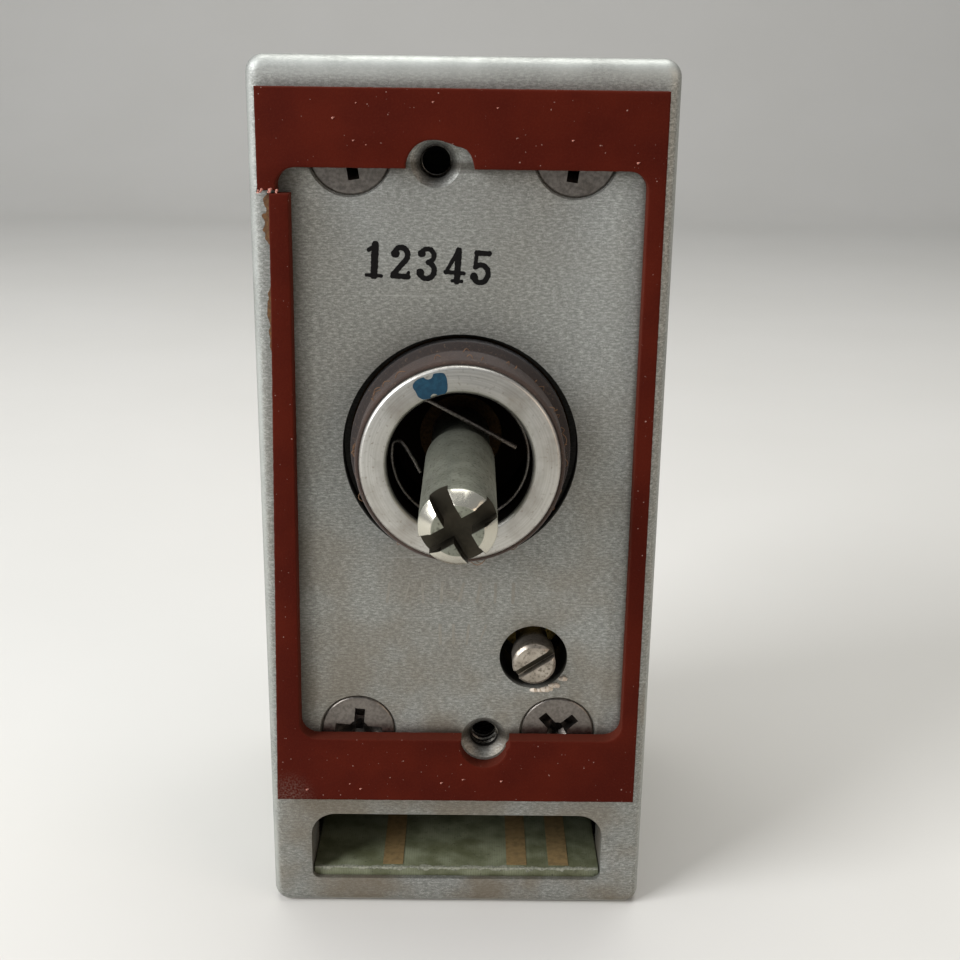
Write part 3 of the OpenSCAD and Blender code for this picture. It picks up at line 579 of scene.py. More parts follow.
@dataclass(frozen=True)
class MetalFinish(Finish):
    """Bare or plated metal with a fine grain, faint tarnish and a soft sheen."""

    name: str
    bright: str
    dark: str
    roughness: tuple[float, float] = (0.32, 0.5)
    grain: Grain = Grain.BLASTED
    grain_mm: float = 0.25
    tarnish: str = "#5e5a52"
    tarnished: float = 0.35
    depth_mm: float = 0.012
    cloud_mm: float = 4.0

    def shade(self, put: Put) -> Socket:
        """Adds the metal's nodes.

        Args:
            put: adds a node to the material.

        Returns:
            The shader.
        """
        place = object_mm(put)
        fine = put(Node.NOISE, put(Node.STRETCH, place, self.grain.value), 1 / self.grain_mm, 3.0)
        broad = put(Node.NOISE, place, 1 / self.cloud_mm, 4.0)
        colour = put(Node.TINT, put(Node.EASE, fine, 0.3, 0.7), self.dark, self.bright)
        stain = put(Node.RANGE, broad, 0.5, 0.78, 0.0, self.tarnished)
        colour = put(Node.TINT, stain, colour, self.tarnish)
        roughness = put(Node.RANGE, fine, 0.25, 0.75, *self.roughness)
        bump = put(Node.BUMP, fine, 0.7, self.depth_mm * MM)
        return put(Node.METAL, colour, roughness, bump, 1.0)


@dataclass(frozen=True)
class TurnedFinish(Finish):
    """Metal turned on a lathe: fine rings round the control axis, some brighter than others, and
    painted shade deep in a bore where one is given.
    """

    name: str
    bright: str
    dark: str
    roughness: tuple[float, float] = (0.24, 0.4)
    ring_mm: float = 0.16  # real feed marks are nearer 0.05; drawn coarser so that they show
    stain: str = "#6a6258"
    stained: float = 0.4
    at: Point2 = (0.0, 0.0)
    bore_r: float = 0.0
    mouth_y: float = 0.0
    # painted shade: near black for the inside of the bore
    bore_shade_tone: str = "#120d0a"
    speck_mm: float = 0.35
    cloud_mm: float = 3.0
    depth_mm: float = 0.01

    def shade(self, put: Put) -> Socket:
        """Adds the turned metal's nodes.

        Args:
            put: adds a node to the material.

        Returns:
            The shader.
        """
        place = object_mm(put)
        radius = radius_from(put, place, self.at)
        depth = put(Node.SPLIT, place).node.outputs[1]
        rings = put(Node.RINGS, put(Node.TIMES_PLUS, depth, 0.83, radius), 1 / self.ring_mm, 3.0)
        specks = put(Node.NOISE, place, 1 / self.speck_mm, 4.0)
        broad = put(Node.NOISE, place, 1 / self.cloud_mm, 3.0)
        colour = put(Node.TINT, put(Node.EASE, rings, 0.3, 0.7), self.dark, self.bright)
        for value, low, high in ((specks, 0.58, 0.74), (broad, 0.5, 0.8)):
            share = put(Node.RANGE, value, low, high, 0.0, self.stained)
            colour = put(Node.TINT, share, colour, self.stain)
        roughness = put(Node.RANGE, rings, 0.25, 0.75, *self.roughness)
        # painted shade: the bore's wall darkens to near black deeper than its mouth, and turns
        # rougher
        if self.bore_r:
            inner = put(Node.EASE, radius, self.bore_r + 0.12, self.bore_r + 0.02)
            below = put(Node.EASE, depth, self.mouth_y + 0.1, self.mouth_y + 0.7)
            black = put(Node.TIMES, inner, below)
            colour = put(Node.TINT, black, colour, self.bore_shade_tone)
            roughness = put(Node.TIMES_PLUS, black, 0.25, roughness)
        bump = put(Node.BUMP, put(Node.TINT, 0.35, rings, specks), 0.5, self.depth_mm * MM)
        return put(Node.METAL, colour, roughness, bump, 1.0)


@dataclass(frozen=True)
class SlottedFinish(Finish):
    """Steel worn matt by handling, with debris and painted shade in the slots of its end.

    The eye sees a dull speckled barrel, a polished chamfer tinted bright cream as a painted
    highlight, and slots darkened by debris and painted shade.
    """

    name: str
    bright: str
    dark: str
    speck: str
    slots: tuple[float, ...]
    half_slot: float
    floor_y: float
    end_y: float
    at: Point2 = (0.0, 0.0)
    polished: tuple[float, float] = (0.0, 0.0)
    # partly polished metal, partly painted highlight: the chamfer's bright cream tint
    polish_and_highlight_tone: str = "#c4c0b2"
    roughness: tuple[float, float] = (0.42, 0.6)
    polished_roughness: float = 0.24
    # debris and painted shade in the slots
    dirt_and_painted_shade: str = "#3c382f"
    speck_mm: float = 0.28
    cloud_mm: float = 1.6
    depth_mm: float = 0.015
    relief: float = 0.35

    def shade(self, put: Put) -> Socket:
        """Adds the steel's nodes.

        Args:
            put: adds a node to the material.

        Returns:
            The shader.
        """
        place = object_mm(put)
        x, depth, z = put(Node.SPLIT, place).node.outputs
        fine = put(Node.NOISE, place, 1 / self.speck_mm, 4.0)
        broad = put(Node.NOISE, place, 1 / self.cloud_mm, 3.0)
        colour = put(Node.TINT, put(Node.EASE, broad, 0.3, 0.7), self.dark, self.bright)
        specks = put(Node.RANGE, fine, 0.52, 0.7, 0.0, 0.8)
        colour = put(Node.TINT, specks, colour, self.speck)
        roughness = put(Node.RANGE, fine, 0.3, 0.7, *self.roughness)
        relief: Socket | float = self.relief
        # polished chamfer: lower roughness, and a bright cream tint that is a painted highlight
        if self.polished[1]:
            radius, edge = radius_from(put, place, self.at), self.end_y + self.polished[1]
            ring = put(Node.EASE, radius, self.polished[0] - 0.08, self.polished[0] + 0.04)
            polish_and_highlight = put(Node.TIMES, ring, put(Node.EASE, depth, edge, edge - 0.06))
            colour = put(Node.TINT, polish_and_highlight, colour, self.polish_and_highlight_tone)
            dull = put(Node.TIMES, roughness, put(Node.MINUS, 1.0, polish_and_highlight))
            roughness = put(Node.TIMES_PLUS, polish_and_highlight, self.polished_roughness, dull)
            relief = put(Node.TIMES_PLUS, polish_and_highlight, 0.01 - self.relief, self.relief)
        # debris and painted shade: the slots' walls and floor are tinted dark
        colour = put(Node.TINT, self.packed(put, x, depth, z), colour, self.dirt_and_painted_shade)
        bump = put(Node.BUMP, fine, relief, self.depth_mm * MM)
        return put(Node.METAL, colour, roughness, bump, 0.9)

    def packed(self, put: Put, x: Socket, depth: Socket, z: Socket) -> Socket:
        """How much debris and painted shade a place gets: fully so on a slot's walls and floor.

        Args:
            put: adds a node to the material.
            x: the place, from left to right.
            depth: the place, from front to back.
            z: the place, upwards.

        Returns:
            The share of debris and painted shade.
        """
        x, z = put(Node.MINUS, x, self.at[0]), put(Node.MINUS, z, self.at[1])
        shares = []
        for slot in self.slots:
            a = math.radians(slot)
            along_z = put(Node.TIMES, z, math.cos(a))
            off = put(Node.UNSIGNED, put(Node.TIMES_PLUS, x, -math.sin(a), along_z))
            shares.append(put(Node.EASE, off, self.half_slot + 0.06, self.half_slot + 0.01))
        below = put(Node.EASE, depth, self.end_y + 0.05, self.end_y + 0.3)
        above = put(Node.EASE, depth, self.floor_y + 0.2, self.floor_y + 0.1)
        deep = put(Node.TIMES, below, above)
        return put(Node.TIMES, reduce(partial(put, Node.LARGER), shares), deep)


@dataclass(frozen=True)
class PlateFinish(Finish):
    """Cast aluminium plate, blasted and then lightly linished along X.

    The eye sees short level flecks that catch the light on a cool grey, a lower half painted
    warmer and darker as shade and warm reflection, a painted highlight along the rim, painted
    shadow along the gasket's window, painted shade in the holes, and long fine scratches.
    """

    name: str
    half_w: float
    top_z: float
    base_z: float
    fleck: str = "#b2b3ad"
    ground: str = "#858681"
    pit: str = "#5e5e59"
    # darker and warmer towards the bottom, in patches: painted shade and warm reflection
    dirt_and_painted_shade: str = "#7c705e"
    # painted highlight on the rim, widest along the left and top edges
    rubbed: str = "#c4c7c2"
    # painted shade in the holes and recesses, near black
    hole_shade_tone: str = "#15120e"
    # painted shadow along the gasket's window
    window_shadow_tone: str = "#3c352a"
    hole_shade_box: tuple[float, float, float] = (15.5, -32.8, 30.0)
    fleck_mm: float = 0.18
    grit_mm: float = 0.14
    cloud_mm: float = 7.0
    depth_mm: float = 0.025
    lay: float = 4.0  # the linishing runs a few degrees off level
    fleck_stretch: float = 0.34  # flecks are 0.3 to 0.9 long and 0.12 high

    def shade(self, put: Put) -> Socket:
        """Adds the plate's nodes.

        Args:
            put: adds a node to the material.

        Returns:
            The shader.
        """
        place = object_mm(put)
        x, depth, z = put(Node.SPLIT, place).node.outputs
        level = (0.0, math.radians(self.lay), 0.0)
        lay = put(Node.TURN, place, level, (self.fleck_stretch, 1.0, 1.0))
        flecks = put(Node.NOISE, lay, 1 / self.fleck_mm, 4.0, 0.7)
        grit = put(Node.NOISE, place, 1 / self.grit_mm, 2.0)
        cloud = put(Node.NOISE, place, 1 / self.cloud_mm, 5.0)
        colour = put(Node.TINT, put(Node.EASE, flecks, 0.38, 0.72), self.ground, self.fleck)
        # painted shade and warm reflection: darker and warmer towards the bottom, broken into
        # patches
        low = put(Node.RANGE, z, 12.0, self.base_z, 0.06, 0.75)
        for share, tone in (
            (put(Node.RANGE, grit, 0.5, 0.74, 0.0, 0.6), self.pit),
            (put(Node.TIMES, low, put(Node.EASE, cloud, 0.36, 0.66)), self.dirt_and_painted_shade),
            (self.scratches(put, place), self.fleck),
            # painted highlight along the rim
            (self.rim(put, x, depth, z, cloud), self.rubbed),
            # painted shadow along the gasket's window
            (self.painted_window_shadow(put, x, z, cloud), self.window_shadow_tone),
            # painted shade in the holes, darker deeper in
            (self.painted_hole_shade(put, x, depth, z), self.hole_shade_tone),
        ):
            colour = put(Node.TINT, share, colour, tone)
        bump = put(Node.BUMP, put(Node.TINT, 0.45, flecks, grit), 0.5, self.depth_mm * MM)
        return put(Node.METAL, colour, put(Node.RANGE, flecks, 0.35, 0.7, 0.62, 0.5), bump, 0.8)

    def painted_window_shadow(self, put: Put, x: Socket, z: Socket, cloud: Socket) -> Socket:
        """Painted shadow of the gasket's raised edge along its window, widest down its left side.

        Args:
            put: adds a node to the material.
            x: the place, from left to right.
            z: the place, upwards.
            cloud: a broad noise.

        Returns:
            The share of painted shadow.
        """
        tall = ((z, -30.6, -29.6), (z, 27.0, 26.0))
        wide = ((x, -17.0, -16.0), (x, 17.0, 16.0))
        bands = (
            ((x, -13.3, -15.6), (x, -17.4, -16.6), *tall),
            ((x, 15.7, 16.5), (x, 18.0, 17.0), *tall),
            ((z, 25.2, 26.0), (z, 26.8, 26.2), *wide),
            ((z, -28.7, -29.7), (z, -30.6, -30.0), *wide),
        )
        shares = [
            reduce(partial(put, Node.TIMES), (put(Node.EASE, *side) for side in band), 0.75)
            for band in bands
        ]
        total = reduce(partial(put, Node.LARGER), shares, 0.0)
        return put(Node.TIMES, total, put(Node.RANGE, cloud, 0.3, 0.6, 0.7, 1.0))

    def painted_hole_shade(self, put: Put, x: Socket, depth: Socket, z: Socket) -> Socket:
        """Painted shade inside the holes and recesses of the face, darker with their depth.

        Args:
            put: adds a node to the material.
            x: the place, from left to right.
            depth: the place, from front to back.
            z: the place, upwards.

        Returns:
            The share of painted shade.
        """
        half_w, low, high = self.hole_shade_box
        shares = (
            put(Node.EASE, depth, 0.12, 1.1),
            put(Node.EASE, put(Node.UNSIGNED, x), half_w, half_w - 0.2),
            put(Node.EASE, z, low, low + 0.2),
            put(Node.EASE, z, high, high - 0.2),
        )
        return put(Node.TIMES, reduce(partial(put, Node.TIMES), shares), 0.9)

    def rim(self, put: Put, x: Socket, depth: Socket, z: Socket, cloud: Socket) -> Socket:
        """How much painted highlight the outer edge gets, from its distance to the outline; widest
        along the left and top.

        Args:
            put: adds a node to the material.
            x: the place, from left to right.
            depth: the place, from front to back.
            z: the place, upwards.
            cloud: a broad noise.

        Returns:
            The share of painted highlight.
        """
        shares = (
            put(Node.EASE, x, 0.9 - self.half_w, 0.2 - self.half_w),
            put(Node.EASE, put(Node.UNSIGNED, x), self.half_w - 0.5, self.half_w - 0.05),
            put(Node.EASE, z, self.top_z - 2.9, self.top_z - 0.6),
            put(Node.EASE, z, self.base_z + 0.7, self.base_z + 0.1),
        )
        near = reduce(partial(put, Node.LARGER), shares)
        near = put(Node.TIMES, near, put(Node.EASE, depth, 1.6, 0.2))
        return put(Node.TIMES, near, put(Node.RANGE, cloud, 0.3, 0.6, 0.3, 0.9))

    def scratches(self, put: Put, place: Socket) -> Socket:
        """Long fine scratches at two slants.

        Args:
            put: adds a node to the material.
            place: where on the piece, in millimetres.

        Returns:
            The share of bare metal.
        """
        shares = []
        for slant, seed in ((24.0, 3.0), (-52.0, 11.0)):
            spin = (0.0, math.radians(slant), 0.0)
            turned = put(Node.TURN, place, spin, (0.07, 1.0, 3.0), (seed, 0.0, seed))
            lines = put(Node.NOISE, turned, 1.2, 1.0)
            shares.append(put(Node.RANGE, lines, 0.71, 0.77, 0.0, 0.4))
        return put(Node.LARGER, *shares)


@dataclass(frozen=True)
class RubberFinish(Finish):
    """Rubbery gasket sheet: dead matt, fine grained, with dust and a paler cut edge."""

    name: str
    face: str = "#4b1509"
    shade_tone: str = "#411007"
    cut_edge: str = "#57281d"
    dust: str = "#c9a397"
    scuffed: str = "#7a6a60"
    scuff_at: Point2 = (-17.0, -36.0)
    grain_mm: float = 0.2
    cloud_mm: float = 6.0
    dust_mm: float = 0.3
    depth_mm: float = 0.05

    def shade(self, put: Put) -> Socket:
        """Adds the rubber's nodes.

        Args:
            put: adds a node to the material.

        Returns:
            The shader.
        """
        place = object_mm(put)
        grain = put(Node.NOISE, place, 1 / self.grain_mm, 3.0)
        broad = put(Node.NOISE, place, 1 / self.cloud_mm, 4.0)
        spots = put(Node.NOISE, place, 1 / self.dust_mm, 1.0)
        facing = put(Node.SPLIT, put(Node.FACING)).node.outputs[1]
        near = put(Node.APART, place, (self.scuff_at[0], 0.0, self.scuff_at[1]))
        scuffs = put(Node.RANGE, grain, 0.4, 0.7, 0.0, 0.45)
        colour = put(Node.TINT, put(Node.EASE, broad, 0.3, 0.7), self.shade_tone, self.face)
        for share, tone in (
            (put(Node.RANGE, grain, 0.45, 0.8, 0.0, 0.25), self.cut_edge),
            (put(Node.RANGE, spots, 0.76, 0.82, 0.0, 0.5), self.dust),
            (put(Node.RANGE, facing, -0.97, -0.6, 0.0, 0.6), self.cut_edge),
            (put(Node.TIMES, put(Node.EASE, near, 3.6, 1.0), scuffs), self.scuffed),
        ):
            colour = put(Node.TINT, share, colour, tone)
        bump = put(Node.BUMP, put(Node.TINT, 0.3, grain, broad), 0.6, self.depth_mm * MM)
        return put(
            Node.COAT, colour, put(Node.RANGE, grain, 0.3, 0.7, 0.7, 0.88), bump, 1.5, 0.06, 0.0,
        )


@dataclass(frozen=True)
class SealFinish(Finish):
    """Aged brown seal: a dark purplish ring, and a sleeve gone lighter with rust and fluff."""

    name: str
    ring: str = "#251d19"
    sleeve: str = "#3b2b22"
    fluff: str = "#77624f"
    sleeve_y: float = -0.4
    fibre_mm: float = 0.22
    cloud_mm: float = 2.2
    depth_mm: float = 0.06

    def shade(self, put: Put) -> Socket:
        """Adds the seal's nodes.

        Args:
            put: adds a node to the material.

        Returns:
            The shader.
        """
        place = object_mm(put)
        depth = put(Node.SPLIT, place).node.outputs[1]
        fibre = put(Node.NOISE, place, 1 / self.fibre_mm, 4.0, 0.5, 1.2)
        broad = put(Node.NOISE, place, 1 / self.cloud_mm, 3.0)
        out = put(Node.EASE, depth, self.sleeve_y + 0.3, self.sleeve_y - 0.6)
        colour = put(Node.TINT, out, self.ring, self.sleeve)
        colour = put(Node.TINT, put(Node.RANGE, broad, 0.35, 0.7, 0.0, 0.5), colour, self.ring)
        colour = put(Node.TINT, put(Node.RANGE, fibre, 0.6, 0.75, 0.0, 0.65), colour, self.fluff)
        bump = put(Node.BUMP, fibre, 0.8, self.depth_mm * MM)
        return put(Node.COAT, colour, 0.9, bump, 1.5, 0.5, 0.15)


@dataclass(frozen=True)
class LaminateFinish(Finish):
    """Glass-cloth epoxy board: woven threads under a glossy grey-green resin."""

    name: str
    resin: str = "#747860"
    thread: str = "#8b9079"
    depths: str = "#55583f"
    smudge: str = "#2b2620"
    thread_mm: float = 0.4
    cloud_mm: float = 2.6
    smudge_mm: float = 0.3
    depth_mm: float = 0.02

    def shade(self, put: Put) -> Socket:
        """Adds the laminate's nodes.

        Args:
            put: adds a node to the material.

        Returns:
            The shader.
        """
        place = object_mm(put)
        pitch = 1 / self.thread_mm / 2.0
        cloth = put(
            Node.LARGER,
            *(put(Node.THREADS, place, pitch, 0.6, bands_direction=way) for way in ("X", "Y")),
        )
        broad = put(Node.NOISE, place, 1 / self.cloud_mm, 5.0)
        fine = put(Node.NOISE, place, 1 / self.smudge_mm, 3.0)
        colour = put(Node.TINT, put(Node.RANGE, cloth, 0.5, 1.0, 0.0, 0.5), self.resin, self.thread)
        colour = put(Node.TINT, put(Node.EASE, broad, 0.3, 0.7), self.depths, colour)
        colour = put(Node.TINT, put(Node.RANGE, fine, 0.62, 0.76, 0.0, 0.6), colour, self.smudge)
        bump = put(Node.BUMP, cloth, 0.3, self.depth_mm * MM)
        return put(Node.COAT, colour, put(Node.RANGE, fine, 0.3, 0.7, 0.3, 0.55), bump, 1.55)


@dataclass(frozen=True)
class CoatFinish(Finish):
    """Moulded plastic, paint, ink or dried glue: one tone broken up by a fine mottle."""

    name: str
    tone: str
    patch: str
    roughness: float = 0.5
    mottle_mm: float = 0.4
    worn: float = 0.5
    depth_mm: float = 0.02
    ior: float = 1.46
    specular: float = 0.5

    def shade(self, put: Put) -> Socket:
        """Adds the coat's nodes.

        Args:
            put: adds a node to the material.

        Returns:
            The shader.
        """
        mottle = put(Node.NOISE, object_mm(put), 1 / self.mottle_mm, 4.0)
        patchy = put(Node.RANGE, mottle, 0.42, 0.68, 0.0, self.worn)
        rough = put(Node.RANGE, mottle, 0.3, 0.7, self.roughness - 0.08, self.roughness + 0.1)
        bump = put(Node.BUMP, mottle, 0.5, self.depth_mm * MM)
        colour = put(Node.TINT, patchy, self.tone, self.patch)
        return put(Node.COAT, colour, rough, bump, self.ior, self.specular)


# cast plate, blasted: level flecks on cool grey, painted shade and warm reflection below, a painted
# highlight along the rim, painted shadow along the gasket's window, painted shade in its holes
BLASTED_PLATE = PlateFinish(
    "blasted_cast_aluminium",
    half_w=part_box("front_plate")[1].x / MM,
    top_z=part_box("front_plate")[1].z / MM,
    base_z=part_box("front_plate")[0].z / MM,
)
# pressed case and cover in the same blasted metal, evenly dull with a few darker clouds
BLASTED_CASE = MetalFinish(
    "blasted_sheet_aluminium", "#a2a49c", "#72746c", (0.45, 0.6), Grain.BLASTED, 0.2, "#6d675b",
    0.5, 0.02,
)
# bar turned and left bare: bright rings, a few stains and knocks, painted shade deep in its bore
TURNED_COLLAR = TurnedFinish(
    "turned_bare_aluminium", "#bfbdb7", "#b1afa8", (0.34, 0.48), stain="#857d72", stained=0.75,
    bore_r=6.65, mouth_y=-4.9,
)
# the bore's bushes and rings, under old black grease
GREASED_BRONZE = MetalFinish(
    "greased_sintered_bronze", "#3a2b1a", "#1a130c", (0.45, 0.6), Grain.BLASTED, 0.2, "#0f0b08",
    0.7, 0.03,
)
# ground steel pins: plain grey with faint rings
TURNED_STEEL = TurnedFinish(
    "ground_steel_pin", "#a5a59c", "#8a8a82", (0.3, 0.42), 0.2, "#5c5a50", 0.5,
)
# the control spindle: olive grey with dark specks, a polished chamfer with a painted highlight,
# debris and painted shade in its cross slots
SPINDLE_STEEL = SlottedFinish(
    "handled_dull_steel", "#919386", "#7f8174", "#4c4b42", (30.0, 120.0), 0.8, -20.65, -22.65,
    polished=(2.12, 1.05),
)
# slotted adjusting screw: zinc plate worn bright, debris and painted shade black in the slot
SLOTTED_ADJUSTER = SlottedFinish(
    "worn_zinc_adjuster", "#b5ac9f", "#8b8377", "#5d554a", (34.0,), 0.36, -0.9, -1.8,
    at=(7.4, -21.2), roughness=(0.3, 0.45),
)
# nickel plate on steel, browned by age
AGED_NICKEL = MetalFinish(
    "tarnished_nickel_plate", "#7f7973", "#67625d", (0.28, 0.42), Grain.BLASTED, 0.3, "#564d45",
    0.5,
)
# zinc plate on steel: bright, bluish white, lightly clouded
ZINC = MetalFinish(
    "bright_zinc_plate", "#c4c4be", "#90908a", (0.25, 0.4), Grain.BLASTED, 0.3, "#7c786c", 0.4,
)
# drawn brass rod: warm yellow with lengthwise lines
BRASS = MetalFinish(
    "drawn_brass", "#d1b56a", "#a68c48", (0.25, 0.4), Grain.DRAWN, 0.2, "#7c6234", 0.4,
)
# sintered bronze: porous and oily brown
BRONZE = MetalFinish(
    "sintered_bronze", "#b98f55", "#7e5c30", (0.45, 0.6), Grain.BLASTED, 0.12, "#5a3e20", 0.5,
    0.03,
)
# inner sheet frames, chromated and oily: dull and dark
DULL_FRAME = MetalFinish(
    "chromated_rolled_aluminium", "#6f6d62", "#54534b", (0.55, 0.7), Grain.ROLLED, 0.18,
)
# drawn spring wire and strip: grey with a faint brown haze
SPRING = MetalFinish(
    "drawn_spring_steel", "#77726c", "#4c4843", (0.3, 0.44), Grain.DRAWN, 0.15, "#4c3a2c", 0.6,
)
# phosphated clips: near black and slightly crystalline
PHOSPHATED = MetalFinish(
    "phosphated_steel", "#55565a", "#333437", (0.45, 0.6), Grain.BLASTED, 0.15,
)
# tinned brass contacts: silvery over yellow
TINNED = MetalFinish(
    "tinned_brass", "#cfc7a6", "#a8935e", (0.28, 0.42), Grain.ROLLED, 0.2, "#8a7036", 0.5,
)
# gasket sheet cut from red rubber-bound cork: matt, grainy, dusty
RED_GASKET = RubberFinish("cut_red_rubber_sheet")
# the same sheet between cover and case, where only its edge shows
REAR_GASKET = RubberFinish("cut_red_rubber_strip", scuff_at=(-90.0, -90.0))
# moulded rubber seal, perished brown
BROWN_SEAL = SealFinish("perished_brown_rubber")
# natural acetal: creamy and slightly waxy
ACETAL = CoatFinish("machined_acetal", "#ded8c6", "#cfc7b0", 0.42, 1.2)
# laminated phenolic paper: brown with a fibrous mottle
PHENOLIC = CoatFinish("sawn_phenolic_laminate", "#7c4f28", "#5c3617", 0.55, 0.5)
# black phenolic moulding: near black, faintly dusty
BLACK_MOULDING = CoatFinish("moulded_black_phenolic", "#2a2b2d", "#3c3c3c", 0.5, 0.9)
# red button plastic
RED_PLASTIC = CoatFinish("moulded_red_nylon", "#b0402a", "#96321f", 0.35, 0.8)
# blue thermoset body
BLUE_PLASTIC = CoatFinish("moulded_blue_thermoset", "#2f506c", "#274258", 0.35, 0.8)
# screened carbon film: black, sooty
CARBON = CoatFinish("screened_carbon_film", "#1d1d1e", "#2c2b2a", 0.7, 0.2)
# wire jacket: cream, slightly grubby
CREAM_JACKET = CoatFinish("extruded_cream_jacket", "#c9c2ad", "#b2a98f", 0.45, 1.0)
# stamping ink soaked into the blasted face: black with metal showing through in specks
STAMP_INK = CoatFinish("stamped_black_ink", "#070606", "#211f1d", 0.8, 0.18, 0.3, specular=0.15)
# paint dab: teal blue, thin at its edges
TEAL_PAINT = CoatFinish(
    "brushed_teal_paint", "#0e3448", "#1d4a5e", 0.55, 0.3, 0.6, 0.04, specular=0.3,
)
# contact cement that has dried brown and picked up grit
OLD_GLUE = CoatFinish("dried_brown_cement", "#5c3d20", "#8a6236", 0.6, 0.3, 0.6, 0.06)
# torn fibres and swarf, pale and dusty
PALE_LINT = CoatFinish("pale_dust_fibre", "#cfc4b4", "#a9988a", 0.8, 0.3)
BROWN_LINT = CoatFinish("brown_rubber_fibre", "#6e5038", "#8d7054", 0.85, 0.3)
# glass-cloth board
GLASS_EPOXY = LaminateFinish("woven_glass_epoxy")
# foil tracks under old flux: tan and dull, the metal hardly showing
FLUXED_COPPER = CoatFinish("fluxed_copper_foil", "#8a744e", "#6d5d40", 0.55, 0.6, 0.7, 0.02)
# chipped board edge: bare glass fibre, whitish
CHIPPED_GLASS = CoatFinish("chipped_glass_fibre", "#8f9080", "#56594b", 0.7, 0.25, 0.8, 0.05)
# torn gasket rubber: pinkish where it broke
TORN_RUBBER = CoatFinish("torn_red_rubber", "#a86a5c", "#c99a8c", 0.85, 0.2)
# ink worn back to a grey shadow on the blasted face
RUBBED_METAL = CoatFinish("rubbed_ink_shadow", "#77746a", "#8b8880", 0.6, 0.3, 0.8)
# cut thread in the plate: dark with oil
DARK_THREAD = MetalFinish(
    "oiled_cut_thread", "#8a8780", "#4a463e", (0.3, 0.45), Grain.BLASTED, 0.2, "#2e2a24", 0.6,
)
# zinc plated screw with a handled, brighter face
SLOTTED_ZINC = MetalFinish(
    "worn_zinc_plate", "#c9c4b8", "#958f82", (0.24, 0.4), Grain.ROLLED, 0.25, "#6c6354", 0.55,
)


# ---- pieces ----------------------------------------------------------------------------


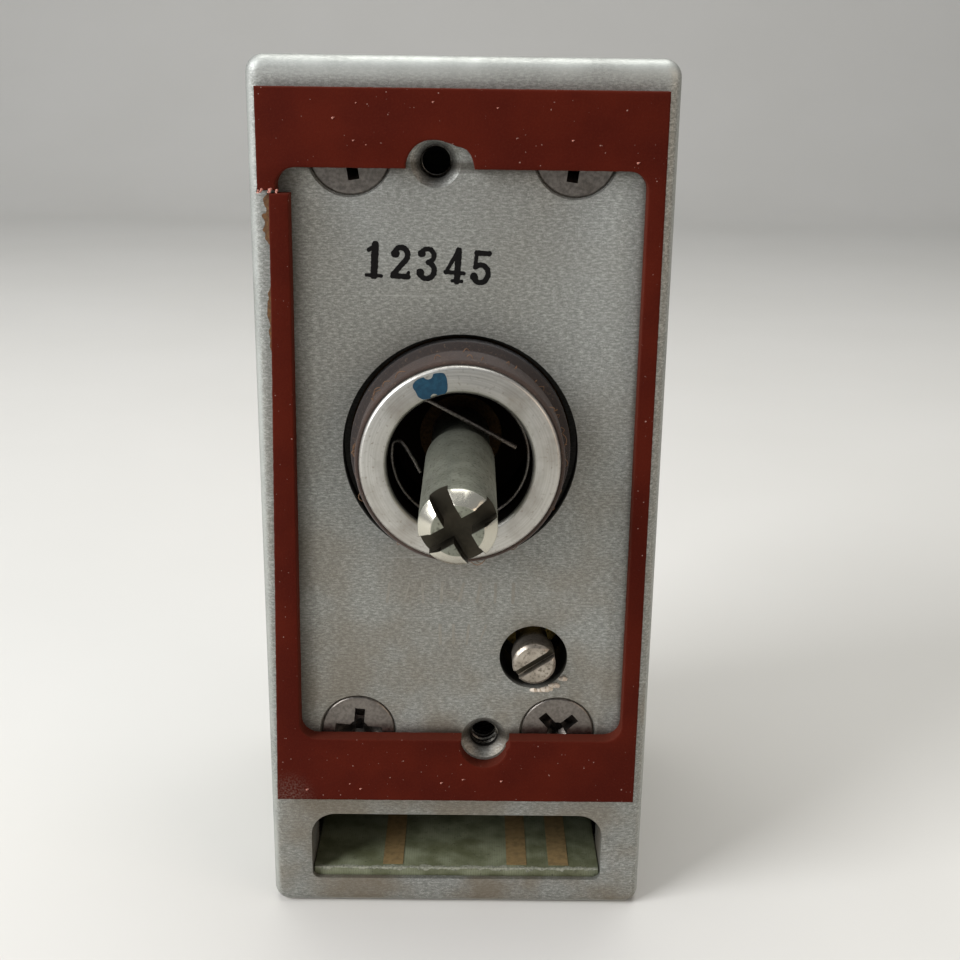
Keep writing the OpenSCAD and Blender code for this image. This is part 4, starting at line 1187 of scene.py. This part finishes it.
@dataclass(frozen=True)
class FaceGasket:
    """Red gasket on the plate's face, torn through near the top of its left arm."""

    thickness: float = 1.6
    right: float = 17.82
    top: float = 32.65
    foot: float = -36.45
    foot_left: float = -18.14
    arm_top: float = 23.68
    stub_foot: float = 23.86
    corner: float = 1.7
    # middles of the window's rounded corners, and the angle at which each starts
    rounds: tuple[tuple[Point2, float], ...] = (
        ((-13.93, -27.9), 180.0), ((14.57, -27.9), 270.0), ((14.57, 24.2), 0.0),
        ((-14.65, 24.2), 90.0),
    )
    # the notches round the two tapped holes
    lower_notch: tuple[Point2, ...] = (
        (-196.1, 2.35), (-20.0, 2.35), (-14.7, 2.17), (-1.1, 2.5), (14.4, 2.62),
    )
    upper_notch: tuple[Point2, ...] = (
        (-4.1, 3.46), (6, 3.32), (20, 3.2), (30, 3.0), (41, 2.5), (64, 2.2), (98, 2.22),
        (131, 2.38), (185.2, 2.65),
    )
    # depth and inset of each ring of points, from the plate to the rubbed face
    rings: tuple[Point2, ...] = (
        (0.0, 0.0), (-1.45, 0.0), (-1.54, 0.03), (-1.585, 0.09), (-1.6, 0.17),
    )
    step: float = 0.35
    wobble: float = 0.03
    torn: float = 0.1
    lift: float = 0.45
    lift_from: float = 6.0
    seed: int = 4
    # each strip of cement: its share of the width, and where it grows and dies away
    strips: tuple[tuple[float, ...], ...] = (
        (1.0, 18.8, 19.8, 23.7, 23.0), (0.8, 8.8, 10.0, 15.4, 14.4),
    )
    strip_x: float = -17.26
    strip_half: float = 0.34
    strip_height: float = 0.32
    tufts: tuple[Point2, ...] = (
        (-17.85, 23.95), (-17.6, 24.05), (-16.95, 23.95), (-16.8, 24.1), (-16.3, 23.9),
    )
    specks: int = 14

    def notch(self, centre: Point2, ring: Sequence[Point2]) -> list[Point2]:
        """Points round a rough notch.

        Args:
            centre: its middle.
            ring: (angle in degrees, radius) pairs.

        Returns:
            The points, in order of angle.
        """
        angles = [ring[0][0] + (ring[-1][0] - ring[0][0]) * k / 24 for k in range(25)]
        return [
            (centre[0] + interpolate(ring, a) * math.cos(math.radians(a)),
             centre[1] + interpolate(ring, a) * math.sin(math.radians(a)))
            for a in angles
        ]

    def corners(self) -> list[Point2]:
        """The gasket's outline, from its lower left corner up the torn arm and round.

        Returns:
            Its corners, the last one joined back to the first.
        """
        rounds = [
            arc_points(at, (self.corner, self.corner), start, start + 90, 8)
            for at, start in self.rounds
        ]
        return [
            (self.foot_left, self.foot),
            (-16.9, self.arm_top - 0.03),
            (-15.15, self.arm_top + 0.02),
            *rounds[0],
            *self.notch((2.65, -30.25), self.lower_notch),
            *rounds[1],
            *rounds[2],
            *self.notch((-2.4, 26.15), self.upper_notch),
            *rounds[3],
            (-16.35, self.stub_foot + 0.08),
            (-17.98, self.stub_foot - 0.06),
            (-17.98, self.top),
            (self.right, self.top),
            (self.right, self.foot),
        ]

    def outline(self) -> list[Point2]:
        """The outline with close, slightly uneven points.

        Returns:
            The points, about a step apart.
        """
        corners = self.corners()
        line: list[Point2] = []
        for a, b in zip(corners, corners[1:] + corners[:1]):
            steps = max(1, round(math.dist(a, b) / self.step))
            line += [
                (a[0] + (b[0] - a[0]) * k / steps, a[1] + (b[1] - a[1]) * k / steps)
                for k in range(steps)
            ]
        uneven = []
        for x, z in line:
            torn = x < -15 and abs(z - (self.arm_top + self.stub_foot) / 2) < 0.25
            size = self.torn if torn else self.wobble
            at = [Vector((x * 1.9, z * 1.9, self.seed + turn)) for turn in (0.0, 50.0)]
            uneven.append((x + size * noise.noise(at[0]), z + size * noise.noise(at[1])))
        return uneven

    def solid(self) -> bpy.types.Mesh:
        """The gasket's mesh, with the top of its torn arm standing a little proud.

        Returns:
            The mesh, in metres.
        """
        line = self.outline()
        count = len(line)
        points: list[Point3] = []
        for y, inset in self.rings:
            for k, (x, z) in enumerate(line):
                before, after = line[k - 1], line[(k + 1) % count]
                along = Vector((after[0] - before[0], after[1] - before[1])).normalized()
                points.append((x + along.y * inset, y, z - along.x * inset))
        faces = [
            (r * count + k, r * count + (k + 1) % count,
             (r + 1) * count + (k + 1) % count, (r + 1) * count + k)
            for r in range(len(self.rings) - 1)
            for k in range(count)
        ]
        for base in (0, (len(self.rings) - 1) * count):
            flat = [Vector((points[base + k][0], points[base + k][2], 0)) for k in range(count)]
            faces += [tuple(base + k for k in f) for f in geometry.tessellate_polygon([flat])]
        mesh = make_mesh("gasket", (points, faces))
        shape = bmesh.new()
        shape.from_mesh(mesh)
        for z in range(int(self.lift_from), int(self.arm_top) + 1, 2):
            bmesh.ops.bisect_plane(
                shape, geom=[*shape.verts, *shape.edges, *shape.faces], dist=1e-8,
                plane_co=(0, 0, z * MM), plane_no=(0, 0, 1),
            )
        for vertex in shape.verts:
            x, z = vertex.co.x / MM, vertex.co.z / MM
            if x < -15 and z < self.arm_top + 0.1:
                vertex.co.y -= self.lift * MM * smoothstep(self.lift_from, self.arm_top, z) ** 2
        shape.to_mesh(mesh)
        shape.free()
        return mesh

    def glue(self) -> Solid:
        """Strips of dried cement left on the plate beside the torn arm.

        Returns:
            Points and faces of the closed shells.
        """

        def inside(x: float, z: float) -> float:
            """Positive where cement is left.

            Args:
                x: across the plate.
                z: up the plate.

            Returns:
                How far inside the cement's edge the place is.
            """
            width = self.strip_half * max(
                smoothstep(foot, full, z) * smoothstep(end, waning, z) * share
                for share, foot, full, end, waning in self.strips
            )
            rough = noise.noise(Vector((x * 2.2, z * 1.6, 7.0)))
            return width * (1 + 0.8 * rough) - abs(x - self.strip_x + 0.12 * rough)

        return film(
            inside, (-18.0, 8.0), (-16.4, 24.0), 0.09, lambda u, v, h: (u, -h, v),
            self.strip_height,
        )

    def crumbs(self) -> Solid:
        """Pale torn fibres at the tear and a few specks of dust on the face.

        Returns:
            Points and faces of the closed shells.
        """
        draw = random.Random(self.seed)
        solids = []
        for x, z in self.tufts:
            path = [
                (x + draw.uniform(-0.1, 0.1), -1.55 - 0.12 * k,
                 z - 0.1 * k + draw.uniform(-0.1, 0.1))
                for k in range(4)
            ]
            solids.append(tube(path, lambda t: 0.13 * (1 - 0.6 * t), 8))
        for _ in range(self.specks):
            x = draw.uniform(-16, 16.5)
            z = draw.choice((draw.uniform(26.5, 31.8), draw.uniform(-35.5, -33)))
            size, face = draw.uniform(0.05, 0.12), -self.thickness
            path = [
                (x, face + 0.01, z), (x + size, face - size * 0.5, z + size * 0.8),
                (x + 2.4 * size, face + 0.01, z + size),
            ]
            solids.append(tube(path, lambda t, size=size: size * (1.1 - t), 6))
        return joined(solids)

    def build(self) -> None:
        """Puts the gasket, its cement and its crumbs on the plate."""
        gasket = add_piece("torn_gasket", self.solid(), RED_GASKET, "housing")
        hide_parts("face_gasket")
        add_piece("old_cement", self.glue(), OLD_GLUE, "housing")
        add_piece("torn_fibres", self.crumbs(), TORN_RUBBER, "housing")


@dataclass(frozen=True)
class NumberStamp:
    """A five figure number stamped in ink on the plate, and rubbed marks lower down."""

    figures: str = "12345"
    height: float = 2.98
    pitch: float = 2.42
    centre: Point2 = (-3.15, 17.45)
    slant: float = -3.2
    cell: float = 0.055
    ink: float = 0.012
    weight: float = 1.3
    rough: float = 0.05

    def strokes(self, figure: str) -> list[tuple[list[Point2], float]]:
        """The strokes of one slab-serif figure.

        Args:
            figure: the figure.

        Returns:
            For each stroke its line and its width, in figure heights.
        """
        shapes = {
            "1": [
                ([(0.31, 0.03), (0.31, 0.97)], 0.17),
                ([(0.31, 0.96), (0.12, 0.8)], 0.1),
                ([(0.09, 0.04), (0.53, 0.04)], 0.09),
            ],
            "2": [
                (arc_points((0.29, 0.72), (0.2, 0.22), 165, -35, 10) + [(0.08, 0.12)], 0.13),
                ([(0.07, 0.07), (0.53, 0.07)], 0.13),
                ([(0.53, 0.07), (0.53, 0.2)], 0.08),
                ([(0.1, 0.74), (0.12, 0.74)], 0.19),
            ],
            "3": [
                (arc_points((0.27, 0.75), (0.2, 0.2), 160, -80, 10), 0.12),
                (arc_points((0.27, 0.3), (0.23, 0.25), 80, -160, 12), 0.13),
                ([(0.09, 0.8), (0.1, 0.8)], 0.18),
                ([(0.07, 0.22), (0.08, 0.22)], 0.19),
            ],
            "4": [
                ([(0.39, 0.03), (0.39, 0.97)], 0.15),
                ([(0.37, 0.95), (0.05, 0.31)], 0.09),
                ([(0.03, 0.29), (0.58, 0.29)], 0.1),
                ([(0.24, 0.04), (0.54, 0.04)], 0.08),
            ],
            "5": [
                ([(0.13, 0.93), (0.5, 0.93)], 0.13),
                ([(0.13, 0.95), (0.11, 0.5)], 0.09),
                (arc_points((0.28, 0.31), (0.23, 0.27), 135, -155, 14), 0.13),
                ([(0.08, 0.21), (0.09, 0.21)], 0.19),
            ],
        }
        return shapes[figure]

    def field(
        self, strokes: Sequence[tuple[list[Point2], float]], seed: float
    ) -> Callable[[float, float], float]:
        """A field that is positive inside the strokes, with an uneven edge.

        Args:
            strokes: lines and widths, in figure heights.
            seed: picks the unevenness.

        Returns:
            The field, in millimetres.
        """

        def inside(x: float, z: float) -> float:
            """Measures from the nearest stroke.

            Args:
                x: across the plate.
                z: up the plate.

            Returns:
                How far inside it the place is, negative outside.
            """
            p = (x / self.height, z / self.height)
            best = max(
                width * self.weight / 2 - segment_distance(p, a, b)[0]
                for line, width in strokes
                for a, b in zip(line, line[1:])
            )
            edge = noise.noise(Vector((x * 4.5, z * 4.5, seed))) * self.rough
            return best * self.height + edge

        return inside

    def number(self) -> Solid:
        """The whole number as thin ink on the plate's face.

        Returns:
            Points and faces of the closed shells.
        """
        turn = math.radians(self.slant)
        half = len(self.figures) / 2
        solids = []
        for k, figure in enumerate(self.figures):
            left = (k - half) * self.pitch

            def place(u: float, v: float, h: float, left: float = left) -> Point3:
                """A point of this figure on the plate.

                Args:
                    u: across the figure.
                    v: up the figure.
                    h: height off the plate.
                    left: the figure's left edge.

                Returns:
                    The point.
                """
                x, z = u + left + 0.4, v - self.height / 2
                return (
                    self.centre[0] + x * math.cos(turn) - z * math.sin(turn),
                    -0.002 - h,
                    self.centre[1] + x * math.sin(turn) + z * math.cos(turn),
                )

            size = (0.7 * self.height, 1.1 * self.height)
            field = self.field(self.strokes(figure), 3.0 * k)
            solids.append(film(field, (-0.1, -0.2), size, self.cell, place, self.ink))
        return joined(solids)

    def rubbings(self) -> Solid:
        """Faint short rubbed marks between the collar and the lower screws.

        Returns:
            Points and faces of the closed shells.
        """
        draw = random.Random(12)
        solids = []
        for row, count in ((-14.2, 8), (-18.6, 4)):
            for k in range(count):
                x = -7.6 + 1.75 * k if row > -16 else -2.4 + 1.3 * k
                tilt = draw.uniform(-0.5, 0.5)
                line = [(0.2, 0.1 + 0.3 * max(tilt, 0)), (0.3 + 0.25 * tilt, 0.75)]
                field = self.field([(line, draw.uniform(0.05, 0.09))], 40.0 + k + row)

                def place(u: float, v: float, h: float, x: float = x, row: float = row) -> Point3:
                    """A point of this mark on the plate."""
                    return x + u, -0.002 - h, row - self.height / 2 + v

                solids.append(film(field, (-0.2, -0.1), (1.9, 2.9), 0.08, place, 0.006))
        return joined(solids)

    def build(self) -> None:
        """Puts the number and the rubbed marks on the plate."""
        add_piece("number_stamp", self.number(), STAMP_INK, "housing")
        add_piece("rubbed_marks", self.rubbings(), RUBBED_METAL, "housing")


@dataclass(frozen=True)
class FaceScrews:
    """Four countersunk cross-recess screws, each turned its own way."""

    places: tuple[tuple[float, float, float], ...] = (
        (-10.0, 27.1, 9.0), (10.0, 27.1, -8.0), (-10.0, -29.4, -5.0), (10.0, -29.4, 41.0)
    )
    head_r: float = 3.7
    shank_r: float = 2.08
    sunk: float = 0.12
    cone_end: float = 2.07
    length: float = 12.4
    rim: float = 0.2
    reach: float = 2.35
    width: float = 1.05
    inner: float = 0.75
    depth: float = 1.7
    over: float = 0.3

    def wing(self, turn: float) -> Solid:
        """One tapered bar of the cross recess, through the middle of the head.

        Args:
            turn: the bar's angle in degrees.

        Returns:
            Points and faces of the bar.
        """
        inner, half, narrow = self.inner, self.width / 2, self.width / 2 * 0.72
        top, base = self.sunk - self.over, self.sunk + self.depth
        outer = self.reach + self.over * (self.reach - inner) / self.depth
        section = [
            (side * long, across * wide, y)
            for long, wide, y in ((outer, half, top), (inner, narrow, base))
            for side, across in ((-1, -1), (1, -1), (1, 1), (-1, 1))
        ]
        c, s = math.cos(math.radians(turn)), math.sin(math.radians(turn))
        points = [(u * c - v * s, y, u * s + v * c) for u, v, y in section]
        sides = [(k, (k + 1) % 4, (k + 1) % 4 + 4, k + 4) for k in range(4)]
        return points, [(3, 2, 1, 0), (4, 5, 6, 7), *sides]

    def screw(self, turn: float) -> bpy.types.Mesh:
        """One screw at the origin with its recess turned.

        Args:
            turn: the recess's angle in degrees.

        Returns:
            The mesh, in metres.
        """
        top, head, shank, end = self.sunk, self.head_r, self.shank_r, self.length
        profile = [
            (0, top), (head - self.rim, top), (head - 0.05, top + 0.1), (head, top + 0.2),
            (head - 0.02, top + 0.3), (shank, self.cone_end), (shank, end - 0.3),
            (shank - 0.3, end), (0, end),
        ]
        above, below = top - self.over, top + self.depth + 0.3
        boss = [(0, above), (1.12, above), (0.72, top + 0.9), (0.3, below), (0, below)]
        tools = (self.wing(turn), self.wing(turn + 90), lathe(boss, (0, 0), 32))
        return carve(
            make_mesh("screw", lathe(profile, (0, 0), 96)),
            [make_mesh("tool", tool) for tool in tools],
        )

    def build(self) -> None:
        """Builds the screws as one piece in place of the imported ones."""
        shape = bmesh.new()
        for x, z, turn in self.places:
            mesh = self.screw(turn)
            mesh.transform(Matrix.Translation((x * MM, 0, z * MM)))
            shape.from_mesh(mesh)
        mesh = bpy.data.meshes.new("screws")
        shape.to_mesh(mesh)
        shape.free()
        screws = add_piece("cross_recess_screws", mesh, AGED_NICKEL, "housing")
        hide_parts("face_screws")


@dataclass(frozen=True)
class FacePlate:
    """The front plate, with thread ridges in its two tapped holes."""

    holes: tuple[Point2, ...] = ((-2.4, 26.4), (2.65, -30.1))
    hole_r: float = 1.435
    pitch: float = 0.794
    ridge: float = 0.2
    start: float = 1.0
    end: float = 6.1
    edge: float = 0.2

    def ridges(self) -> Solid:
        """The thread of both holes, as one ridge wound along each wall.

        Returns:
            Points and faces of the closed shells.
        """
        turns = (self.end - self.start) / self.pitch
        steps = round(turns * 32)
        r = self.hole_r + 0.03
        solids = []
        for x, z in self.holes:
            path = []
            for k in range(steps + 1):
                a, y = math.tau * turns * k / steps, self.start + self.pitch * turns * k / steps
                path.append((x + r * math.cos(a), y, z + r * math.sin(a)))
            solids.append(tube(path, lambda t: self.ridge, 4))
        return joined(solids)

    def build(self) -> None:
        """Dresses the plate and puts its threads in."""
        dress("front_plate", BLASTED_PLATE, self.edge)
        add_piece("hole_threads", self.ridges(), DARK_THREAD, "housing")


@dataclass(frozen=True)
class Collar:
    """Turned collar with its seal, a dab of paint on its face and the spring in its bore."""

    face_y: float = -4.9
    dab_at: float = 109.5
    dab_half: float = 11.0
    dab_inner: float = 6.78
    dab_outer: float = 8.8
    wire_r: float = 0.22
    leg_off: float = 3.495
    leg_lean: float = 62.6
    ring_r: float = 6.38
    hook: tuple[Point3, ...] = (
        (6.15, 167.6, -1.5), (5.7, 167.0, -1.6), (5.2, 170.5, -1.75), (4.7, 177, -1.9),
        (4.25, 187, -2.0), (4.0, 203, -2.1),
    )
    sleeve_r: float = 9.6
    lint: int = 46
    lint_r: float = 0.035

    def dab(self) -> Solid:
        """The paint: a patch across the face, with a notch above and chips below.

        Returns:
            Points and faces of the closed shells.
        """
        middle = (self.dab_inner + self.dab_outer) / 2
        half = (self.dab_outer - self.dab_inner) / 2

        def inside(r: float, arc: float) -> float:
            """Positive on the paint.

            Args:
                r: distance from the axis.
                arc: millimetres round the middle radius.

            Returns:
                How far inside the edge of the paint the place is.
            """
            wide = math.radians(self.dab_half) * middle
            body = 1 - (abs(r - middle) / half) ** 4 - (abs(arc) / wide) ** 4
            rough = noise.noise(Vector((r * 1.7, arc * 1.7, 5.0)))
            notch = math.hypot(r - self.dab_outer, arc - 0.05) - 0.38
            chip = math.hypot(r - self.dab_inner + 0.15, arc + 0.1) - 0.42
            return min(body + 0.25 * rough, notch, chip)

        def place(r: float, arc: float, h: float) -> Point3:
            """A point of the paint on the collar's face.

            Args:
                r: distance from the axis.
                arc: millimetres round the middle radius.
                h: height off the face.

            Returns:
                The point.
            """
            a = math.radians(self.dab_at) - arc / middle
            return r * math.cos(a), self.face_y - 0.004 - h, r * math.sin(a)

        return film(inside, (6.5, -2.2), (9.05, 2.2), 0.08, place, 0.035)

    def spring(self) -> Solid:
        """The wire spring: a leg across the bore, a ring round it and a hook behind.

        Returns:
            Points and faces of the wire.
        """
        path: list[Point3] = []
        for k in range(33):
            t = k / 32
            a = math.radians(14 + 104 * t)
            r = self.leg_off / math.cos(a - math.radians(self.leg_lean))
            path.append((r * math.cos(a), -3.2 + 0.6 * t, r * math.sin(a)))
        for k in range(81):
            t = k / 80
            a = math.radians(122 - 311 * t)
            path.append((self.ring_r * math.cos(a), -2.5 + 1.1 * t, self.ring_r * math.sin(a)))
        bend = [
            (r * math.cos(math.radians(a)), y, r * math.sin(math.radians(a)))
            for r, a, y in ((6.38, 175, -1.41), (6.38, 171, -1.4), *self.hook)
        ]
        path += spline(bend, 8)[9:]
        return tube(path, lambda t: self.wire_r, 14)

    def fuzz(self) -> Solid:
        """Fibres of perished rubber and dust round the seal's sleeve.

        Returns:
            Points and faces of the closed shells.
        """
        draw = random.Random(21)
        solids = []
        for _ in range(self.lint):
            start = draw.uniform(0, math.tau)
            y = draw.uniform(-4.3, -0.5)
            length = draw.uniform(0.5, 1.5)
            lean, curl = draw.uniform(-1, 1), draw.uniform(-0.4, 0.4)
            path = []
            for t in (0, 0.25, 0.5, 0.75, 1):
                r = self.sleeve_r + 0.28 * math.sin(math.pi * t) + 0.1 * t
                a = start + lean * length * t / self.sleeve_r
                path.append((r * math.cos(a), y + length * t * curl, r * math.sin(a)))
            solids.append(tube(path, lambda t: self.lint_r, 5))
        return joined(solids)

    def build(self) -> None:
        """Dresses the collar and adds its paint, spring and fibres."""
        dress("selector_collar", TURNED_COLLAR, 0.12)
        dress("collar_seal", BROWN_SEAL, 0.1)
        add_piece("paint_dab", self.dab(), TEAL_PAINT, "collar")
        spring = add_piece("grip_wire", self.spring(), SPRING, "collar")
        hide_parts("grip_spring")
        add_piece("seal_fuzz", self.fuzz(), BROWN_LINT, "collar")


@dataclass(frozen=True)
class Adjuster:
    """Slotted adjusting screw in its hole, with pale burrs on the hole's lower right."""

    centre: Point2 = (7.4, -21.2)
    hole_r: float = 3.35

    def burrs(self) -> Solid:
        """Crumbs of metal and dust on the plate at the hole's rim.

        Returns:
            Points and faces of the closed shells.
        """
        draw = random.Random(33)
        solids = []
        for angle in (-38, -52, -60, -66, -71, -80, -88):
            a = math.radians(angle + draw.uniform(-3, 3))
            r = self.hole_r + draw.uniform(0.2, 0.55)
            size = draw.uniform(0.2, 0.38)
            x, z = self.centre[0] + r * math.cos(a), self.centre[1] + r * math.sin(a)
            path = [
                (x - size, 0.02, z), (x, -size * 0.55, z + size * 0.3),
                (x + size, 0.02, z - size * 0.2),
            ]
            solids.append(tube(path, lambda t, size=size: size * (0.75 - 0.5 * abs(t - 0.5)), 8))
        return joined(solids)

    def build(self) -> None:
        """Dresses the screw and adds the burrs."""
        dress("adjuster_screw", SLOTTED_ADJUSTER, 0.1)
        add_piece("hole_burrs", self.burrs(), PALE_LINT, "housing")


@dataclass(frozen=True)
class BoardWindow:
    """Circuit board seen through the plate's lower window, with a chipped front edge."""

    half_w: float = 14.9
    front_y: float = 0.7
    top_z: float = -45.75

    def chips(self) -> Solid:
        """Bare glass fibre along the board's top front edge.

        Returns:
            Points and faces of the closed shells.
        """

        def inside(x: float, over: float) -> float:
            """Positive on the chipped strip.

            Args:
                x: along the edge.
                over: how far back on top, or down the front.

            Returns:
                How far inside the strip's edge the place is.
            """
            rough = noise.noise(Vector((x * 1.3, over * 2.0, 2.0)))
            rough += 0.6 * noise.noise(Vector((x * 4.1, over * 3.0, 8.0)))
            broad = 0.26 + 0.22 * noise.noise(Vector((x * 0.5, 3.0, 1.0)))
            return broad + 0.3 * rough - abs(over - 0.05)

        def place(x: float, over: float, h: float) -> Point3:
            """A point of the strip, on the board's top or its front.

            Args:
                x: along the edge.
                over: how far back on top, or down the front.
                h: height off the board.

            Returns:
                The point.
            """
            if over > 0:
                return x, self.front_y + over, self.top_z + 0.003 + h
            return x, self.front_y - 0.003 - h, self.top_z + 0.003 + h + over

        reach = self.half_w - 0.1
        return film(inside, (-reach, -0.8), (reach, 1.0), 0.09, place, 0.03)

    def build(self) -> None:
        """Dresses the board and its tracks and adds the chipped edge."""
        dress("circuit_board", GLASS_EPOXY, 0.08)
        dress("contact_tracks", FLUXED_COPPER)
        add_piece("chipped_edge", self.chips(), CHIPPED_GLASS, "housing")


@dataclass(frozen=True)
class CaseShell:
    """Case body, rear cover, the gasket between them and the four long case bolts."""

    edge: float = 0.25

    def build(self) -> None:
        """Dresses the shell."""
        dress("case_body", BLASTED_CASE, self.edge)
        dress("rear_cover", BLASTED_CASE, self.edge)
        dress("rear_gasket", REAR_GASKET)
        dress("case_bolts", SLOTTED_ZINC, 0.12)


@dataclass(frozen=True)
class Mechanism:
    """Everything inside the case, and the spindle that comes out of it."""

    finishes: tuple[tuple[Finish, str], ...] = (
        (ZINC, "standoff_screws detent_post_screw detent_clamp_screw wafer_screws switch_screws"),
        (ZINC, "board_screws detent_wheel thrust_yoke"),
        (AGED_NICKEL, "trimmer_nut"),
        (BRASS, "front_standoffs rear_standoffs wafer_spacers trimmer_bush"),
        (BRASS, "rotor_blade trimmer_wiper"),
        (DULL_FRAME, "mechanism_plate bearing_plate detent_post"),
        (BRONZE, "rear_bush"),
        (GREASED_BRONZE, "collar_bush thrust_ring spindle_bushes"),
        (ACETAL, "collar_thrust_washer board_washers switch_cam"),
        (SPRING, "detent_spring return_springs"),
        (PHOSPHATED, "collar_circlip spindle_clip"),
        (TURNED_STEEL, "stop_pin guide_pins cam_pin"),
        (PHENOLIC, "wafer_stator"),
        (TINNED, "wafer_contacts switch_terminals trimmer_pins"),
        (BLACK_MOULDING, "cam_switch_body push_switch_body wafer_rotor"),
        (RED_PLASTIC, "cam_switch_plunger push_switch_plunger"),
        (BLUE_PLASTIC, "trimmer_body"),
        (CARBON, "trimmer_track"),
        (CREAM_JACKET, "lead_wires"),
    )
    push_travel: float = 1.5

    def build(self) -> None:
        """Dresses the spindle and every inner part."""
        dress("spindle", SPINDLE_STEEL, 0.08)
        for finish, nodes in self.finishes:
            for node in nodes.split():
                dress(node, finish)
        self.let_springs_shorten()

    def let_springs_shorten(self) -> None:
        """Gives the return springs a mesh of their own."""
        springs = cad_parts["return_springs"]
        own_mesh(springs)


# ---- studio ----------------------------------------------------------------------------


@dataclass(frozen=True)
class StudioFinish(Finish):
    """Matt painted studio paper, with the faintest mottle."""

    name: str
    tone: str
    patch: str
    mottle_mm: float = 60.0

    def shade(self, put: Put) -> Socket:
        """Adds the paper's nodes.

        Args:
            put: adds a node to the material.

        Returns:
            The shader.
        """
        broad = put(Node.NOISE, object_mm(put), 1 / self.mottle_mm, 4.0)
        return put(Node.PAPER, put(Node.TINT, broad, self.tone, self.patch), 0.85, 1.45)


PAPER = StudioFinish("matt_studio_paper", "#d7d5d0", "#d1cfc9")


@dataclass(frozen=True)
class Lamp:
    """A soft rectangular light aimed at a place."""

    name: str
    at: Point3
    aim: Point3
    size: Point2
    power: float
    colour: str

    def build(self) -> None:
        """Adds the light."""
        data = bpy.data.lights.new(self.name, "AREA")
        data.shape = "RECTANGLE"
        data.size, data.size_y = self.size[0] * MM, self.size[1] * MM
        data.energy, data.color = self.power, linear(self.colour)[:3]
        lamp = bpy.data.objects.new(self.name, data)
        lamp.location = Vector(self.at) * MM
        heading = Vector(self.aim) - Vector(self.at)
        lamp.rotation_euler = heading.to_track_quat("-Z", "Y").to_euler()
        bpy.context.scene.collection.objects.link(lamp)


@dataclass(frozen=True)
class Studio:
    """Pale sweep, soft lights and the camera."""

    floor_z: float = -49.65
    depth: float = 620.0
    bend: float = 260.0
    half_w: float = 2600.0
    wall: float = 1100.0
    ambient: float = 0.33
    sky_tone: str = "#e8edf3"
    eye: Point3 = (0.84, -119.8, 34.65)
    pitch: float = 17.40
    yaw: float = -0.50
    roll: float = 0.79
    lens: float = 49.725

    def sweep(self) -> None:
        """Adds the floor that curves up into a wall."""
        profile = [(-self.half_w, self.floor_z), (self.depth, self.floor_z)]
        middle = (self.depth, self.floor_z + self.bend)
        profile += arc_points(middle, (self.bend, self.bend), -90, 0, 24)[1:]
        profile.append((self.depth + self.bend, self.wall))
        points = [(x, y, z) for x in (-self.half_w, self.half_w) for y, z in profile]
        count = len(profile)
        faces = [(k, k + 1, count + k + 1, count + k) for k in range(count - 1)]
        mesh = bpy.data.meshes.new("sweep")
        mesh.from_pydata([tuple(c * MM for c in p) for p in points], [], faces)
        mesh.materials.append(PAPER.material())
        for face in mesh.polygons:
            face.use_smooth = True
        sweep = bpy.data.objects.new("sweep", mesh)
        bpy.context.scene.collection.objects.link(sweep)

    def sky(self) -> None:
        """Fills the room with even pale light."""
        world = bpy.data.worlds.new("room")
        bpy.context.scene.world = world
        world.use_nodes = True
        world.node_tree.nodes.clear()
        put = partial(add, world.node_tree)
        put(Node.WORLD, put(Node.GLOW, self.sky_tone, self.ambient))

    def camera(self) -> None:
        """Adds the camera at the viewing angle."""
        down, turn, lean = (math.radians(a) for a in (self.pitch, self.yaw, self.roll))
        spin = Matrix.Rotation(turn, 3, "Z")
        ahead = spin @ Vector((0, math.cos(down), -math.sin(down)))
        right = spin @ Vector((1, 0, 0))
        up = right.cross(ahead)
        across = right * math.cos(lean) + up * math.sin(lean)
        above = up * math.cos(lean) - right * math.sin(lean)
        data = bpy.data.cameras.new("camera")
        data.lens, data.sensor_width, data.clip_start = self.lens, 36.0, 0.005
        eye = bpy.data.objects.new("camera", data)
        turned = Matrix((across, above, -ahead)).transposed().to_4x4()
        eye.matrix_world = Matrix.Translation(Vector(self.eye) * MM) @ turned
        bpy.context.scene.collection.objects.link(eye)
        bpy.context.scene.camera = eye

    def build(self) -> None:
        """Sets up the whole studio."""
        self.sweep()
        self.sky()
        for lamp in (
            Lamp("window", (-520, -300, 330), (0, 0, 0), (360, 420), 5.4, "#fafbff"),
            Lamp("fill", (480, -360, 160), (0, 0, 0), (360, 360), 0.8, "#ffe8d2"),
            Lamp("top", (0, 80, 520), (0, 0, 0), (420, 420), 2.1, "#fdfdfb"),
        ):
            lamp.build()
        self.camera()
        bpy.context.scene.view_settings.view_transform = "Standard"
        LOG.info("studio ready")


def main() -> None:
    """Builds every sub-assembly in turn, then the studio."""
    logging.basicConfig(level=logging.INFO, format="%(name)s: %(message)s")
    for part in (
        CaseShell(), FacePlate(), FaceGasket(), NumberStamp(), FaceScrews(), Collar(),
        Adjuster(), BoardWindow(), Mechanism(),
    ):
        part.build()
        LOG.info("finished %s", type(part).__name__)
    Studio().build()


if __name__ == "__main__":
    main()
